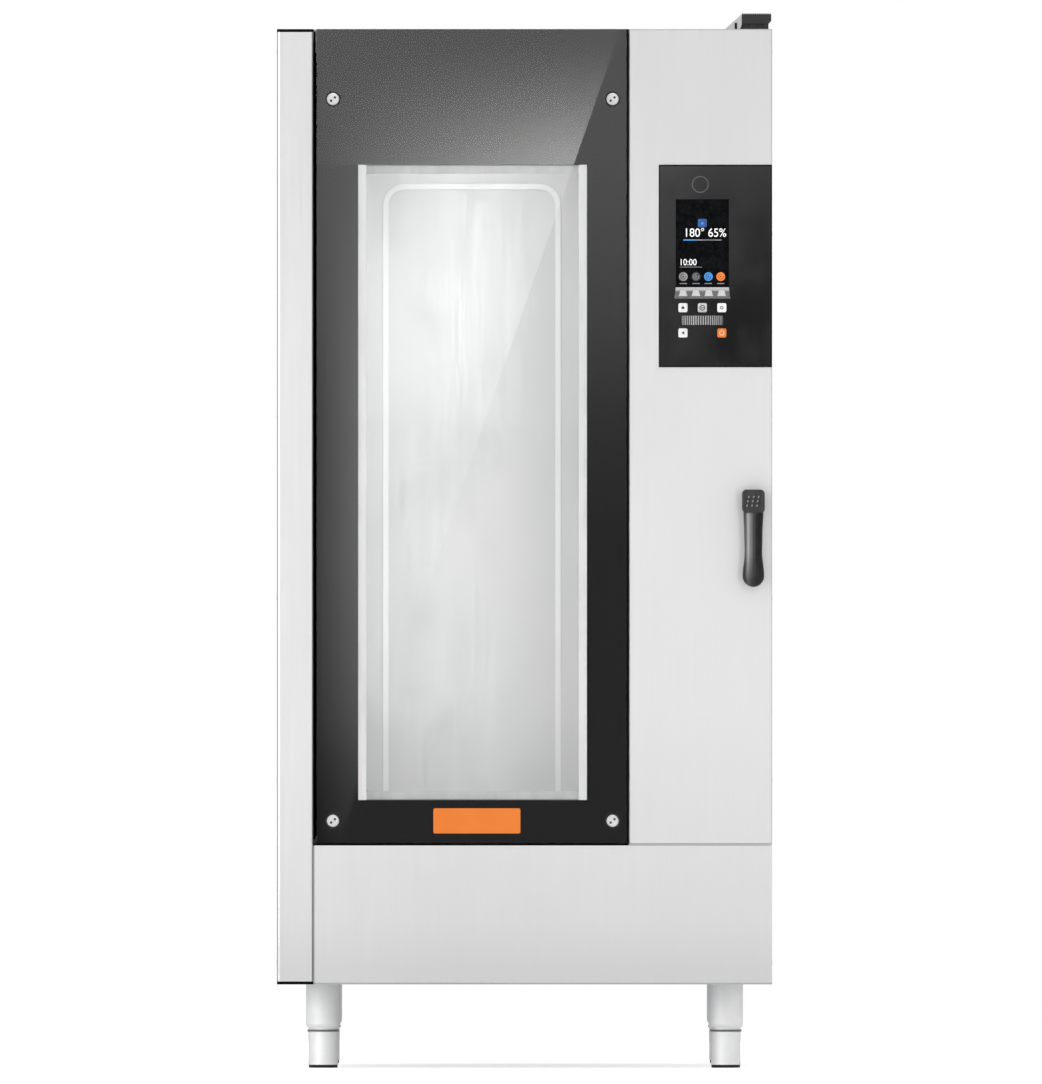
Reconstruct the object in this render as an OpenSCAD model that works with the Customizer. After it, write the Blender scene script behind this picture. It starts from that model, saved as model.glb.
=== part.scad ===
// Free-standing combi oven on four legs. The whole upper front is one door leaf,
// hinged at the left, with the glazed window, the control panel and the handle.
// X runs to the right, Y to the back and Z up. The origin is at the floor, under
// the middle of the oven's overall box. All sizes are in millimetres.

/* [Cabinet] */
// Width of the cabinet
body_w = 905; // [860:1:1100]
// Height of the cabinet without its legs
body_h = 1746; // [1650:1:1950]
// Depth of the cabinet behind its front frame
body_d = 920; // [900:1:1100]
// Thickness of the cabinet's sheet metal
sheet = 1.5; // [1:0.1:2.5]
// Width of the front left column
column_w = 66.5; // [50:0.5:90]
// How far the column's face lies behind the door's face
column_setback = 2; // [1:0.5:6]
// Radius of the column's front corners
column_corner = 5; // [4:0.5:12]
// Height of the column's end caps
column_cap = 5.5; // [3:0.5:10]
// Height of the lower front panel
plinth_h = 254; // [200:1:300]
// Gap below the door
seam = 4; // [2:0.5:8]
// Gap between the column and the door
hinge_seam = 6; // [5.5:0.5:10]
// Gap between the column and the lower front panel
plinth_seam = 2.5; // [1:0.5:6]
// Side of the base frame's square tubes
tube = 40; // [25:1:60]
// Wall of the base frame's square tubes
tube_wall = 2; // [1.5:0.5:4]

/* [Legs] */
// Height of the cabinet's underside above the floor
leg_h = 154; // [140:1:200]
// Radius of a leg's fixed sleeve
sleeve_r = 31.5; // [26:0.5:40]
// Length of a leg's fixed sleeve
sleeve_len = 80; // [70:1:100]
// Wall of a leg's fixed sleeve
sleeve_wall = 3.9; // [2:0.1:6]
// Gap between a sleeve and its foot
foot_gap = 0.3; // [0.1:0.1:0.8]
// Thickness of a foot's rubber pad
pad_t = 5.5; // [3:0.5:10]
// Distance from the cabinet's side to a leg's axis
leg_side = 84; // [60:1:120]
// Distance from the cabinet's front or back to a leg's axis
leg_end = 90; // [60:1:150]

/* [Cavity] */
// Distance from the outer glass's right edge to the mouth
mouth_right = 46; // [40:1:60]
// Distance from the door's top to the mouth
mouth_down = 195; // [180:1:230]
// Distance from the door's left edge to the mouth
mouth_left = 45; // [45:1:60]
// Height of the cavity's floor above the door's lower edge
mouth_up = 33; // [28:1:60]
// Depth of the cavity
cavity_d = 750; // [700:1:760]
// Width of the fan chamber beside the mouth
chamber_w = 50; // [40:1:60]
// Thickness of the insulation
wool = 45; // [30:1:50]
// Distance from the mouth's right side to the air baffle
baffle_in = 15; // [8:1:25]
// Width of the pressed ridge on the back wall
ridge_w = 10; // [6:1:16]
// Height of the pressed ridge
ridge_t = 3; // [1:0.5:5]
// Width of the panel that the ridge outlines
ridge_panel_w = 321; // [280:1:360]
// Distance from the cavity's ceiling to the ridge
ridge_down = 93; // [60:1:140]
// Outer corner radius of the ridge
ridge_corner = 40; // [25:1:60]
// Width of the door seal
gasket_w = 12; // [9:0.5:12]

/* [Fans and heating] */
// Radius of a fan wheel
fan_r = 150; // [120:1:170]
// Width of a fan wheel
fan_w = 42; // [30:1:45]
// Number of blades on a fan wheel
fan_blades = 12; // [6:1:16]
// Distance from the cavity's mouth to the fans' axis
fan_back = 390; // [350:1:420]
// Distance from the cavity's floor and ceiling to the nearest fan's axis
fan_end = 330; // [280:1:360]
// Radius of a motor shaft
shaft_r = 8; // [6:0.5:12]
// Radial running clearance of shafts and pins
run_gap = 0.05; // [0.02:0.01:0.1]
// Radius of a fan motor
motor_r = 62; // [50:1:75]
// Length of a fan motor
motor_len = 130; // [100:1:140]
// Radius of the heating coils' middle line
heater_r = 178; // [172:1:200]
// Radius of a heating tube
heater_tube = 5; // [4:0.5:7]
// Radius of the drain's outlet
drain_r = 25; // [20:0.5:32]
// Wall of the drain pipe and the exhaust duct
pipe_wall = 2; // [1.5:0.5:4]
// Radius of the exhaust duct
duct_r = 24; // [18:0.5:25]

/* [Door] */
// Thickness of the door leaf
door_t = 70; // [66:1:90]
// Gap between the closed door and the front frame
seal_gap = 6; // [5:0.5:10]
// Distance from the body's right side to the outer glass
glass_right = 261.5; // [255:0.5:280]
// Thickness of the outer glass
glass_t = 6; // [4:0.5:8]
// Thickness of the black border behind the outer glass
border_t = 1; // [0.5:0.1:2]
// Gap between the outer glass and the steel front
fascia_seam = 1.5; // [0.5:0.5:4]
// Width of the black border at the window's left side
border_left = 76; // [60:1:84]
// Width of the black border at the window's right side
border_right = 77; // [60:1:84]
// Height of the black border above the window
border_top = 248; // [200:1:280]
// Height of the black border below the window
border_bottom = 79; // [60:1:100]
// Width of the steel reveal inside the window
reveal = 15; // [10:1:20]
// Thickness of the inner glass
inner_glass_t = 5; // [4:0.5:8]
// Thickness of the door's inner sheet and frame
skin = 2; // [1.5:0.1:3]
// Radius of a glass stud's cap
stud_r = 11; // [7:0.5:14]
// Height of a glass stud's cap
stud_t = 4; // [3:0.5:4.5]
// Distance from the glass's sides to a stud's axis
stud_side = 30; // [24:0.5:40]
// Distance from the glass's top to the upper studs
stud_top = 128; // [100:1:160]
// Distance from the glass's bottom to the lower studs
stud_bottom = 41; // [30:1:60]
// Width of the badge plate
badge_w = 159; // [100:1:200]
// Height of the badge plate
badge_h = 46; // [30:1:56]
// Distance from the glass's bottom to the badge plate
badge_up = 18; // [12:1:22]
// How far the badge plate lies to the right of the window's middle
badge_right = 8; // [0:1:12]

/* [Hinge] */
// Radius of a hinge pin
pin_r = 5; // [4:0.5:6]
// Distance from the door's left edge to the hinge axis
hinge_in = 16; // [14:0.5:16]
// Distance from the door's face to the hinge axis
hinge_back = 15; // [14:0.5:16]
// Thickness of a hinge arm
arm_t = 7; // [5:0.5:9]
// Height of the door's corner notches
notch_h = 14; // [13:0.5:20]

/* [Handle] */
// How far the handle stands out from the door's face
handle_reach = 62; // [50:1:80]
// Distance from the door's right edge to the handle's axis
handle_side = 34.5; // [32:0.5:45]
// Height of the handle's axis above the door's lower edge
handle_up = 625; // [500:1:800]
// Width of the handle's head
head_w = 41.5; // [36:0.5:50]
// Height of the handle's head
head_h = 43; // [36:0.5:50]
// Thickness of the handle's head
head_t = 26; // [20:1:32]
// Length of the grip below the head
grip_len = 135; // [110:1:160]
// Width of the grip's waist
grip_waist = 31; // [26:1:36]
// Width of the grip's end
grip_end = 39.5; // [34:0.5:46]
// Radius of the handle's spindle
spindle_r = 9; // [7:0.5:11]
// Length of the latch bar
bar_len = 48; // [40:1:52]
// Width of the latch bar
bar_w = 18; // [14:1:19]
// Thickness of the latch bar
bar_t = 8; // [5:0.5:10]

/* [Controls] */
// Width of the control glass
control_w = 207; // [190:1:230]
// Height of the control glass
control_h = 370; // [350:1:420]
// Distance from the door's top to the control glass
control_top = 248; // [200:1:300]
// Thickness of the control glass
control_t = 3; // [2:0.5:5]
// Width of the screen
screen_w = 97; // [80:1:110]
// Height of the screen
screen_h = 161; // [140:1:170]
// Distance from the control glass's left edge to the screen
screen_left = 31; // [20:1:45]
// Distance from the control glass's top to the screen
screen_top = 63; // [50:1:70]
// Side of a square key
key_size = 16.5; // [12:0.5:18]
// Gap round a key
key_gap = 0.3; // [0.2:0.1:0.8]
// How far a key stands out of the glass
key_out = 2; // [1.8:0.1:4]
// Travel of a key
key_travel = 1.2; // [0.5:0.1:1.5]
// Distance between neighbouring keys in the upper row
key_pitch = 35.5; // [30:0.5:40]
// Height of the soft key bar
bezel_h = 21; // [17:0.5:24]
// Distance between neighbouring soft keys
soft_pitch = 23.5; // [20:0.5:25]
// Radius of the scroll wheel
wheel_r = 43; // [36:1:44]
// Height of the scroll wheel
wheel_h = 17; // [10:1:18]
// How far the scroll wheel stands out of the control glass
wheel_out = 20; // [10:1:22]
// Number of ribs on the scroll wheel
wheel_ribs = 60; // [24:2:80]

/* [Vent] */
// Width of the vent's black cap
cap_w = 54; // [52:1:90]
// Height of the vent above the roof
cap_h = 32; // [26:1:50]
// Depth of the vent
cap_d = 130; // [100:1:200]
// Width of the sloping shield beside the cap
shield_w = 34; // [26:1:50]
// Distance from the cabinet's back to the vent
cap_back = 600; // [150:1:640]
// How far the pipe ends stand out behind the cabinet
pipe_reach = 40; // [30:1:80]

/* [Hidden] */
$fn = 64;

STEEL = [0.82, 0.82, 0.82];
BRIGHT = [0.9, 0.9, 0.9];
DARK = [0.14, 0.14, 0.14];
GREY = [0.45, 0.45, 0.45];
ORANGE = [0.94, 0.53, 0.22];
GLASS = [0.7, 0.8, 0.8, 0.35];
touch = 0.3;   // running gap between a resting piece and its seat
cut = 1;       // how far a cutting shape runs past the surface that it cuts

// Heights
z_base = leg_h;
z_top = leg_h + body_h;
z_door = z_base + plinth_h + seam;
z_floor = z_door + mouth_up;
z_ceiling = z_top - mouth_down;
z_handle = z_door + handle_up;

// Places from front to back
overall_d = handle_reach + door_t + seal_gap + body_d + pipe_reach;
y_front = -overall_d / 2;
y_door = y_front + handle_reach;
y_skin = y_door + door_t;
y_body = y_skin + seal_gap;
y_rear = y_body + body_d;
y_frame = y_door + glass_t + border_t;
y_cavity = y_body + sheet;
y_hinge = y_door + hinge_back;
y_fan = y_body + fan_back;

// Places from left to right
x_left = -body_w / 2;
x_right = body_w / 2;
x_door = x_left + column_w + hinge_seam;
x_glass = x_right - glass_right;
x_fascia = x_glass + fascia_seam;
x_mouth = x_door + mouth_left;
x_mouth_end = x_glass - mouth_right;
x_liner = x_mouth_end + chamber_w;
x_baffle = x_mouth_end - baffle_in;
x_hinge = x_door + hinge_in;
x_handle = x_right - handle_side;

// The window in the black border, and the smaller one in the inner sheet
window_x = [x_door + border_left, x_glass - border_right];
window_z = [z_door + border_bottom, z_top - border_top];
inner_x = [window_x[0] + reveal, window_x[1] - reveal];
inner_z = [window_z[0] + reveal, window_z[1] - reveal];

// The control glass and what sits in it
control_x = x_right - control_w;
control_z = z_top - control_top;
screen_x = control_x + screen_left;
screen_mid = screen_x + screen_w / 2;
screen_z = control_z - screen_top;
bezel_z = screen_z - screen_h;
row_gap = 6.3;
bezel_gap = 8;
key_z_upper = bezel_z - bezel_h - bezel_gap - key_size / 2;
wheel_slot = 1.2;
wheel_z = key_z_upper - key_size / 2 - row_gap - wheel_h / 2;
key_z_lower = wheel_z - wheel_h / 2 - row_gap - key_size / 2;
y_control = y_door - control_t;
y_wheel = y_control - wheel_out + wheel_r;
key_flange = 1.2;
key_stem = 8;
y_board = y_door + key_stem + key_travel + touch;
board_t = 2;

// A box from one corner to the other
module block(from, to) { translate(from) cube(to - from); }

// A rectangle with round corners, centred on the origin
module rounded(size, r) {
    square([size.x - 2 * r, size.y], center = true);
    square([size.x, size.y - 2 * r], center = true);
    for (x = [-1, 1], y = [-1, 1])
        translate([x * (size.x / 2 - r), y * (size.y / 2 - r)]) circle(r);
}

// An upright plate with round corners, facing the front
module plate(x, z, y, r) {
    translate([(x[0] + x[1]) / 2, y[1], (z[0] + z[1]) / 2])
        rotate([90, 0, 0])
            linear_extrude(y[1] - y[0]) rounded([x[1] - x[0], z[1] - z[0]], r);
}

// Round bars along the three axes
module rod_x(y, z, x, r) { translate([x[0], y, z]) rotate([0, 90, 0]) cylinder(h = x[1] - x[0], r = r); }
module rod_y(x, z, y, r) { translate([x, y[1], z]) rotate([90, 0, 0]) cylinder(h = y[1] - y[0], r = r); }
module rod_z(x, y, z, r) { translate([x, y, z[0]]) cylinder(h = z[1] - z[0], r = r); }

// Where the four legs stand
leg_x = [x_left + leg_side, x_right - leg_side];
leg_y = [y_body + leg_end, y_rear - leg_end];

// Square tubes of the base frame
frame_x = [x_left + sheet, x_right - sheet];
frame_y = [y_cavity, y_rear - sheet];
frame_z = z_base + sheet;
carrier_z = z_floor - sheet - wool - tube;

module tube_x(y, z) {
    difference() {
        block([frame_x[0], y, z], [frame_x[1], y + tube, z + tube]);
        block([frame_x[0] + tube_wall, y + tube_wall, z + tube_wall],
            [frame_x[1] - tube_wall, y + tube - tube_wall, z + tube - tube_wall]);
    }
}

module tube_y(x) {
    difference() {
        block([x, frame_y[0], frame_z], [x + tube, frame_y[1], frame_z + tube]);
        block([x + tube_wall, frame_y[0] - cut, frame_z + tube_wall],
            [x + tube - tube_wall, frame_y[1] + cut, frame_z + tube - tube_wall]);
    }
}

module base_frame() {
    color(STEEL) {
        tube_y(frame_x[0]);
        tube_y(frame_x[1] - tube);
        // Two carriers hold the cavity on four posts
        for (y = leg_y) {
            tube_x(y - tube / 2, frame_z);
            tube_x(y - tube / 2, carrier_z);
            for (x = [frame_x[0], frame_x[1] - tube])
                block([x, y - tube / 2, frame_z + tube],
                    [x + tube, y + tube / 2, carrier_z]);
        }
    }
}

sleeve_bore = sleeve_r - sleeve_wall;
foot_r = sleeve_bore - foot_gap;
sleeve_top = 10;     // thickness of the plate that closes a sleeve
sleeve_taper = 6;    // height of the chamfer at a sleeve's mouth
groove = 1;          // depth of the ring cut into a foot just below its sleeve
groove_h = 2;

module leg_sleeves() {
    color(STEEL)
        for (x = leg_x, y = leg_y)
            translate([x, y, z_base - sleeve_len])
                difference() {
                    union() {
                        cylinder(h = sleeve_taper, r1 = (sleeve_bore + sleeve_r) / 2, r2 = sleeve_r);
                        translate([0, 0, sleeve_taper])
                            cylinder(h = sleeve_len - sleeve_taper, r = sleeve_r);
                    }
                    translate([0, 0, -cut])
                        cylinder(h = sleeve_len - sleeve_top + cut, r = sleeve_bore);
                }
}

module foot(x, y) {
    z_groove = z_base - sleeve_len - groove_h;
    color(BRIGHT) {
        rod_z(x, y, [pad_t, z_groove], foot_r);
        rod_z(x, y, [z_groove, z_groove + groove_h], foot_r - groove);
        rod_z(x, y, [z_groove + groove_h, z_base - sleeve_top - touch], foot_r);
    }
    color(DARK) rod_z(x, y, [0, pad_t], foot_r - groove);
}

module bottom_pan() {
    color(STEEL) block([x_left, y_body, z_base], [x_right, y_rear, z_base + sheet]);
}

// Side panels stand between the front frame, the roof and the bottom pan
side_z = [z_base + sheet, z_top - sheet];
louvre_w = 90;
louvre_h = 5;
louvre_pitch = 16;
louvre_step = louvre_w + 20;
side_louvre = [90, 90];    // from the front frame and from the underside
rear_louvre = [220, 500];  // from the right side and from the roof

module left_side_panel() {
    color(STEEL) block([x_left, y_cavity, side_z[0]], [x_left + sheet, y_rear - sheet, side_z[1]]);
}

module right_side_panel() {
    color(STEEL)
        difference() {
            block([x_right - sheet, y_cavity, side_z[0]], [x_right, y_rear - sheet, side_z[1]]);
            for (row = [0:9], column = [0:2])
                translate([x_right - sheet - cut, y_body + side_louvre[0] + column * louvre_step,
                    z_base + side_louvre[1] + row * louvre_pitch])
                    cube([sheet + 2 * cut, louvre_w, louvre_h]);
        }
}

// Pipes and plugs in the rear panel
inlet_r = 13.2;
inlet_pitch = 60;
inlet_x = [x_right - 150, x_right - 150 + inlet_pitch];
inlet_z = z_base + 110;
gland_r = 14;
gland_bore = 9;
gland_x = (inlet_x[0] + inlet_x[1]) / 2;
gland_z = z_base + 200;
drain_pipe_r = drain_r - 1;
drain_x = (x_mouth + x_mouth_end) / 2;
y_drain_turn = y_body + cavity_d / 2;
drain_z = z_base + 95;

module rear_panel() {
    color(STEEL)
        difference() {
            block([x_left, y_rear - sheet, side_z[0]], [x_right, y_rear, side_z[1]]);
            rod_y(drain_x, drain_z, [y_rear - sheet - cut, y_rear + cut], drain_pipe_r);
            for (x = inlet_x)
                rod_y(x, inlet_z, [y_rear - sheet - cut, y_rear + cut], inlet_r);
            rod_y(gland_x, gland_z, [y_rear - sheet - cut, y_rear + cut], gland_r);
            for (row = [0:11], column = [0:1])
                translate([x_right - rear_louvre[0] + column * louvre_step, y_rear - sheet - cut,
                    z_top - rear_louvre[1] + row * louvre_pitch])
                    cube([louvre_w, sheet + 2 * cut, louvre_h]);
        }
}

// The exhaust duct rises beside the cavity and ends under the vent cap
neck_in = 4;
neck_w = cap_w - neck_in - 1;
duct_x = x_right - cap_w + neck_w / 2;
duct_down = 90;
duct_y = y_rear - cap_back - cap_d / 2;
duct_x_low = x_mouth_end - 2 * duct_r - baffle_in;
duct_z = z_top - sheet - duct_down;
duct_bend = duct_r + 10;

module top_panel() {
    color(STEEL)
        difference() {
            block([x_left, y_body, z_top - sheet], [x_right, y_rear, z_top]);
            rod_z(duct_x, duct_y, [z_top - sheet - cut, z_top + cut], duct_r);
        }
}

// The latch bar passes the front frame and the striker through one upright slot
slot_spare = 5;
slot_w = bar_w + slot_spare;
slot_h = bar_len + slot_spare;
slot_x = [x_handle - slot_w / 2, x_handle + slot_w / 2];
slot_z = [z_handle - slot_h / 2, z_handle + slot_h / 2];

// Two posts and two rails around the mouth, butted with a hair of room
butt = 0.1;

module front_frame() {
    color(STEEL) {
        block([x_left, y_body, side_z[0]], [x_mouth, y_cavity, side_z[1]]);
        difference() {
            block([x_mouth_end, y_body, side_z[0]], [x_right, y_cavity, side_z[1]]);
            block([slot_x[0], y_body - cut, slot_z[0]], [slot_x[1], y_cavity + cut, slot_z[1]]);
        }
        for (z = [[side_z[0], z_floor], [z_ceiling, side_z[1]]])
            block([x_mouth + butt, y_body, z[0]], [x_mouth_end - butt, y_cavity, z[1]]);
    }
}

module plinth_panel() {
    x = [x_left + column_w + plinth_seam, x_right];
    z = [z_base, z_base + plinth_h];
    color(STEEL)
        difference() {
            block([x[0], y_door, z[0]], [x[1], y_body, z[1]]);
            block([x[0] + sheet, y_door + sheet, z[0] + sheet],
                [x[1] - sheet, y_body + cut, z[1] - sheet]);
        }
}

// The column is a folded channel, open to the back, with round front corners
column_x = [x_left, x_left + column_w];
y_column = y_door + column_setback;

module column_outline(inset) {
    x = [column_x[0] + inset, column_x[1] - inset];
    y = [y_column + inset, y_body];
    r = column_corner - inset;
    polygon([[x[0], y[1]], [x[0], y[0] + r], [x[0] + r, y[0] + r], [x[0] + r, y[0]],
        [x[1] - r, y[0]], [x[1] - r, y[0] + r], [x[1], y[0] + r], [x[1], y[1]]]);
    for (cx = [x[0] + r, x[1] - r]) translate([cx, y[0] + r]) circle(r);
}

module left_column() {
    color(STEEL)
        translate([0, 0, z_base + column_cap])
            linear_extrude(body_h - 2 * column_cap)
                difference() {
                    column_outline(0);
                    column_outline(sheet);
                    // The channel's back is open
                    translate([column_x[0] + sheet, y_body - cut])
                        square([column_w - 2 * sheet, 2 * cut]);
                }
}

module column_caps() {
    color(DARK)
        for (z = [z_base, z_top - column_cap])
            translate([0, 0, z]) linear_extrude(column_cap) column_outline(0);
}

// The liner is a box of five welded sheets with a fan chamber at the right of the mouth
liner_x = [x_mouth, x_liner];
liner_z = [z_floor, z_ceiling];
y_back_wall = y_cavity + cavity_d;
fan_z = [z_floor + fan_end, z_ceiling - fan_end];
shaft_hole = shaft_r + 4;

module cavity_liner() {
    x = [liner_x[0] + butt, liner_x[1] - butt];
    y = [y_cavity, y_back_wall + sheet];
    z = [liner_z[0] - sheet, liner_z[1] + sheet];
    color(BRIGHT) {
        // The side walls, the right one bored for the fans' shafts
        block([liner_x[0] - sheet, y[0], z[0]], [liner_x[0], y[1], z[1]]);
        difference() {
            block([liner_x[1], y[0], z[0]], [liner_x[1] + sheet, y[1], z[1]]);
            for (zf = fan_z) rod_x(y_fan, zf, [x_liner - cut, x_liner + sheet + cut], shaft_hole);
        }
        // The floor with its drain, and the ceiling with the exhaust
        difference() {
            block([x[0], y[0], z[0]], [x[1], y[1], liner_z[0]]);
            rod_z(drain_x, y_drain_turn, [z[0] - cut, z_floor + cut], drain_pipe_r);
        }
        difference() {
            block([x[0], y[0], liner_z[1]], [x[1], y[1], z[1]]);
            rod_z(duct_x_low, duct_y, [z_ceiling - cut, z[1] + cut], duct_r);
        }
        // The back wall
        block([x[0], y_back_wall, liner_z[0] + butt], [x[1], y[1], liner_z[1] - butt]);
        back_ridge();
        baffle_pins();
    }
}

// The pressed outline on the back wall
module back_ridge() {
    mid = (window_x[0] + window_x[1]) / 2;
    x = [mid - ridge_panel_w / 2, mid + ridge_panel_w / 2];
    z = [z_floor + ridge_w, z_ceiling - ridge_down];
    difference() {
        plate(x, z, [y_back_wall - ridge_t, y_back_wall], ridge_corner);
        plate([x[0] + ridge_w, x[1] - ridge_w], [z[0] + ridge_w, z[1] - ridge_w],
            [y_back_wall - ridge_t - cut, y_back_wall], ridge_corner - ridge_w);
    }
}

// The baffle swings on two pins near the back wall
baffle_pin_r = 4;
baffle_pin_len = 14;
baffle_hub = 8;
baffle_edge = 24;    // from the front frame to the baffle's front edge
baffle_end = 14;     // from the floor and the ceiling to the baffle
hub_len = 40;
y_baffle_pin = y_back_wall - 30;
baffle_z = [z_floor + baffle_end, z_ceiling - baffle_end];
ear_t = 4;

module baffle_pins() {
    for (side = [0, 1]) {
        z_ear = side == 0 ? baffle_z[0] - touch - ear_t : baffle_z[1] + touch;
        block([x_baffle - baffle_hub, y_baffle_pin - baffle_hub, z_ear],
            [x_baffle + baffle_hub, y_back_wall, z_ear + ear_t]);
        z_pin = side == 0 ? z_ear : z_ear - baffle_pin_len;
        rod_z(x_baffle, y_baffle_pin, [z_pin, z_pin + baffle_pin_len + ear_t], baffle_pin_r);
    }
}

module cavity_insulation() {
    color([0.75, 0.7, 0.5])
        difference() {
            block([liner_x[0] - sheet - wool, y_cavity, liner_z[0] - sheet - wool],
                [liner_x[1] + sheet + wool, y_back_wall + sheet + wool, liner_z[1] + sheet + wool]);
            block([liner_x[0] - sheet, y_cavity - cut, liner_z[0] - sheet],
                [liner_x[1] + sheet, y_back_wall + sheet, liner_z[1] + sheet]);
            for (z = fan_z)
                rod_x(y_fan, z, [x_liner, x_liner + sheet + wool + cut], shaft_hole);
            rod_z(drain_x, y_drain_turn, [z_floor - sheet - wool - cut, z_floor], drain_pipe_r);
            rod_z(duct_x_low, duct_y, [z_ceiling, z_ceiling + sheet + wool + cut], duct_r);
        }
}

module door_gasket() {
    x = [x_mouth, x_mouth_end];
    z = [z_floor, z_ceiling];
    y = [y_skin + touch, y_body];
    color(DARK) {
        for (side = [[x[0] - gasket_w, x[0]], [x[1], x[1] + gasket_w]])
            block([side[0], y[0], z[0] - gasket_w], [side[1], y[1], z[1] + gasket_w]);
        for (edge = [[z[0] - gasket_w, z[0]], [z[1], z[1] + gasket_w]])
            block([x[0] + butt, y[0], edge[0]], [x[1] - butt, y[1], edge[1]]);
    }
}

// An elbow's centre line turns from +Z to the side, in the XZ plane
module elbow(bend, r) { rotate([90, 0, 0]) rotate_extrude(angle = 90) translate([bend, 0]) circle(r); }

pipe_bend = drain_r + 12;

module drain_run(r, extra) {
    bend = pipe_bend;
    rod_z(drain_x, y_drain_turn, [drain_z + bend, z_floor + extra], r);
    translate([drain_x, y_drain_turn + bend, drain_z + bend])
        mirror([0, 1, 0]) rotate([0, 90, 0]) rotate_extrude(angle = 90)
            translate([bend, 0]) circle(r);
    rod_y(drain_x, drain_z, [y_drain_turn + bend, y_rear + pipe_reach + extra], r);
}

module drain_pipe() {
    color(STEEL)
        difference() {
            union() {
                drain_run(drain_pipe_r, 0);
                // A collar against the rear panel, and the outlet's spigot
                rod_y(drain_x, drain_z, [y_rear, y_rear + nut_t], drain_r + nut_t);
                rod_y(drain_x, drain_z, [y_rear, y_rear + pipe_reach], drain_r);
            }
            drain_run(drain_pipe_r - pipe_wall, cut);
        }
}

module duct_run(r, extra) {
    rod_z(duct_x_low, duct_y, [z_ceiling - extra, duct_z - duct_bend], r);
    translate([duct_x_low + duct_bend, duct_y, duct_z - duct_bend])
        mirror([1, 0, 0]) elbow(duct_bend, r);
    rod_x(duct_y, duct_z, [duct_x_low + duct_bend, duct_x - duct_bend], r);
    translate([duct_x - duct_bend, duct_y, duct_z + duct_bend])
        mirror([0, 0, 1]) elbow(duct_bend, r);
    rod_z(duct_x, duct_y, [duct_z + duct_bend, z_top + extra], r);
}

damper_z = z_top - duct_r - 2;
damper_t = 2;
damper_gap = 0.5;
damper_pin_r = 3;
damper_pin_out = 12;
lever_half = 4;
lever_h = 14;

module exhaust_duct() {
    color(STEEL)
        difference() {
            duct_run(duct_r, 0);
            duct_run(duct_r - pipe_wall, cut);
            rod_y(duct_x, damper_z, [duct_y - duct_r - cut, duct_y + duct_r + cut],
                damper_pin_r + run_gap);
        }
}

module vent_damper() {
    y = duct_y + duct_r;
    color(BRIGHT) {
        rod_z(duct_x, duct_y, [damper_z - damper_t / 2, damper_z + damper_t / 2],
            duct_r - pipe_wall - damper_gap);
        rod_y(duct_x, damper_z, [duct_y - duct_r - lever_half, y + damper_pin_out], damper_pin_r);
        block([duct_x - lever_half, y + damper_pin_out / 2, damper_z - lever_h],
            [duct_x + lever_half, y + damper_pin_out, damper_z + lever_half]);
    }
}

// The vent stands at the roof's right edge, with a sloping shield at its left.
// Both profiles are drawn from the cap's left edge and the roof.
cap_x = [x_right - cap_w, x_right];
cap_y = [y_rear - cap_back - cap_d, y_rear - cap_back];
lid_h = 19;
lid_low = cap_h - lid_h;
lid_chamfer = 5;
flange_h = 3;
flange_left = 14;
rib_h = 1.5;
rib_count = 14;

module vent_profile() {
    translate([cap_x[0], cap_y[1], z_top]) rotate([90, 0, 0]) linear_extrude(cap_d) children();
}

module vent_shield() {
    slot_w = 4.8;
    slot_depth = 12;
    foot = flange_left + touch;
    step = flange_h + touch;
    color(STEEL)
        difference() {
            vent_profile()
                polygon([[-shield_w, 0], [-touch, cap_h - rib_h], [-touch, lid_low - 2],
                    [-neck_in, step], [-foot, step], [-foot, 0]]);
            translate([cap_x[0] - foot + 1, cap_y[0] - cut, z_top + step - cut])
                cube([slot_w, slot_depth + cut, lid_h / 2 + cut + 2]);
        }
}

module vent_cap() {
    lid = cap_w;
    rib_pitch = cap_w / rib_count;
    window = [[2, 15], [28, 40]];
    color(DARK)
        difference() {
            union() {
                // Base flange, neck and overhanging lid
                vent_profile()
                    polygon([[-flange_left, 0], [lid - 1.5, 0], [neck_w, flange_h],
                        [-flange_left, flange_h]]);
                block([cap_x[0], cap_y[0] + neck_in, z_top],
                    [cap_x[0] + neck_w, cap_y[1] - neck_in, z_top + lid_low + 1]);
                vent_profile()
                    polygon([[0, lid_low], [lid - lid_chamfer, lid_low], [lid, lid_low + lid_chamfer],
                        [lid, cap_h - rib_h - 1], [lid - 1, cap_h - rib_h], [0, cap_h - rib_h]]);
                for (i = [0:rib_count - 1])
                    translate([cap_x[0] + (i + 0.25) * rib_pitch, cap_y[0] + 1, z_top + cap_h - 2 * rib_h])
                        cube([rib_pitch / 2, cap_d - 2, 2 * rib_h]);
            }
            // The way out of the duct, through two windows at each end
            rod_z(duct_x, duct_y, [z_top - cut, z_top + lid_low], duct_r - pipe_wall);
            for (w = window)
                block([cap_x[0] + w[0], cap_y[0] - cut, z_top + flange_h],
                    [cap_x[0] + w[1], cap_y[1] + cut, z_top + lid_low]);
        }
}

heater_gap = 14;     // half of the angle left open at a coil's ends
heater_pitch = heater_tube * 2 + 5;

module ring_heater(x, z) {
    translate([x, y_fan, z])
        rotate([0, 90, 0])
            rotate([0, 0, heater_gap])
                rotate_extrude(angle = 360 - 2 * heater_gap, $fn = 48)
                    translate([heater_r, 0]) circle(heater_tube, $fn = 32);
}

// Two open rings round each fan, with straight terminals to the chamber's wall
module heating_elements() {
    color(GREY)
        for (z = fan_z) {
            for (i = [1:2]) ring_heater(x_liner - i * heater_pitch, z);
            for (side = [-1, 1])
                rod_x(y_fan + side * heater_r * sin(heater_gap), z - heater_r * cos(heater_gap),
                    [x_liner - 2 * heater_pitch - heater_tube - 1, x_liner], heater_tube + 1);
        }
}

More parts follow.
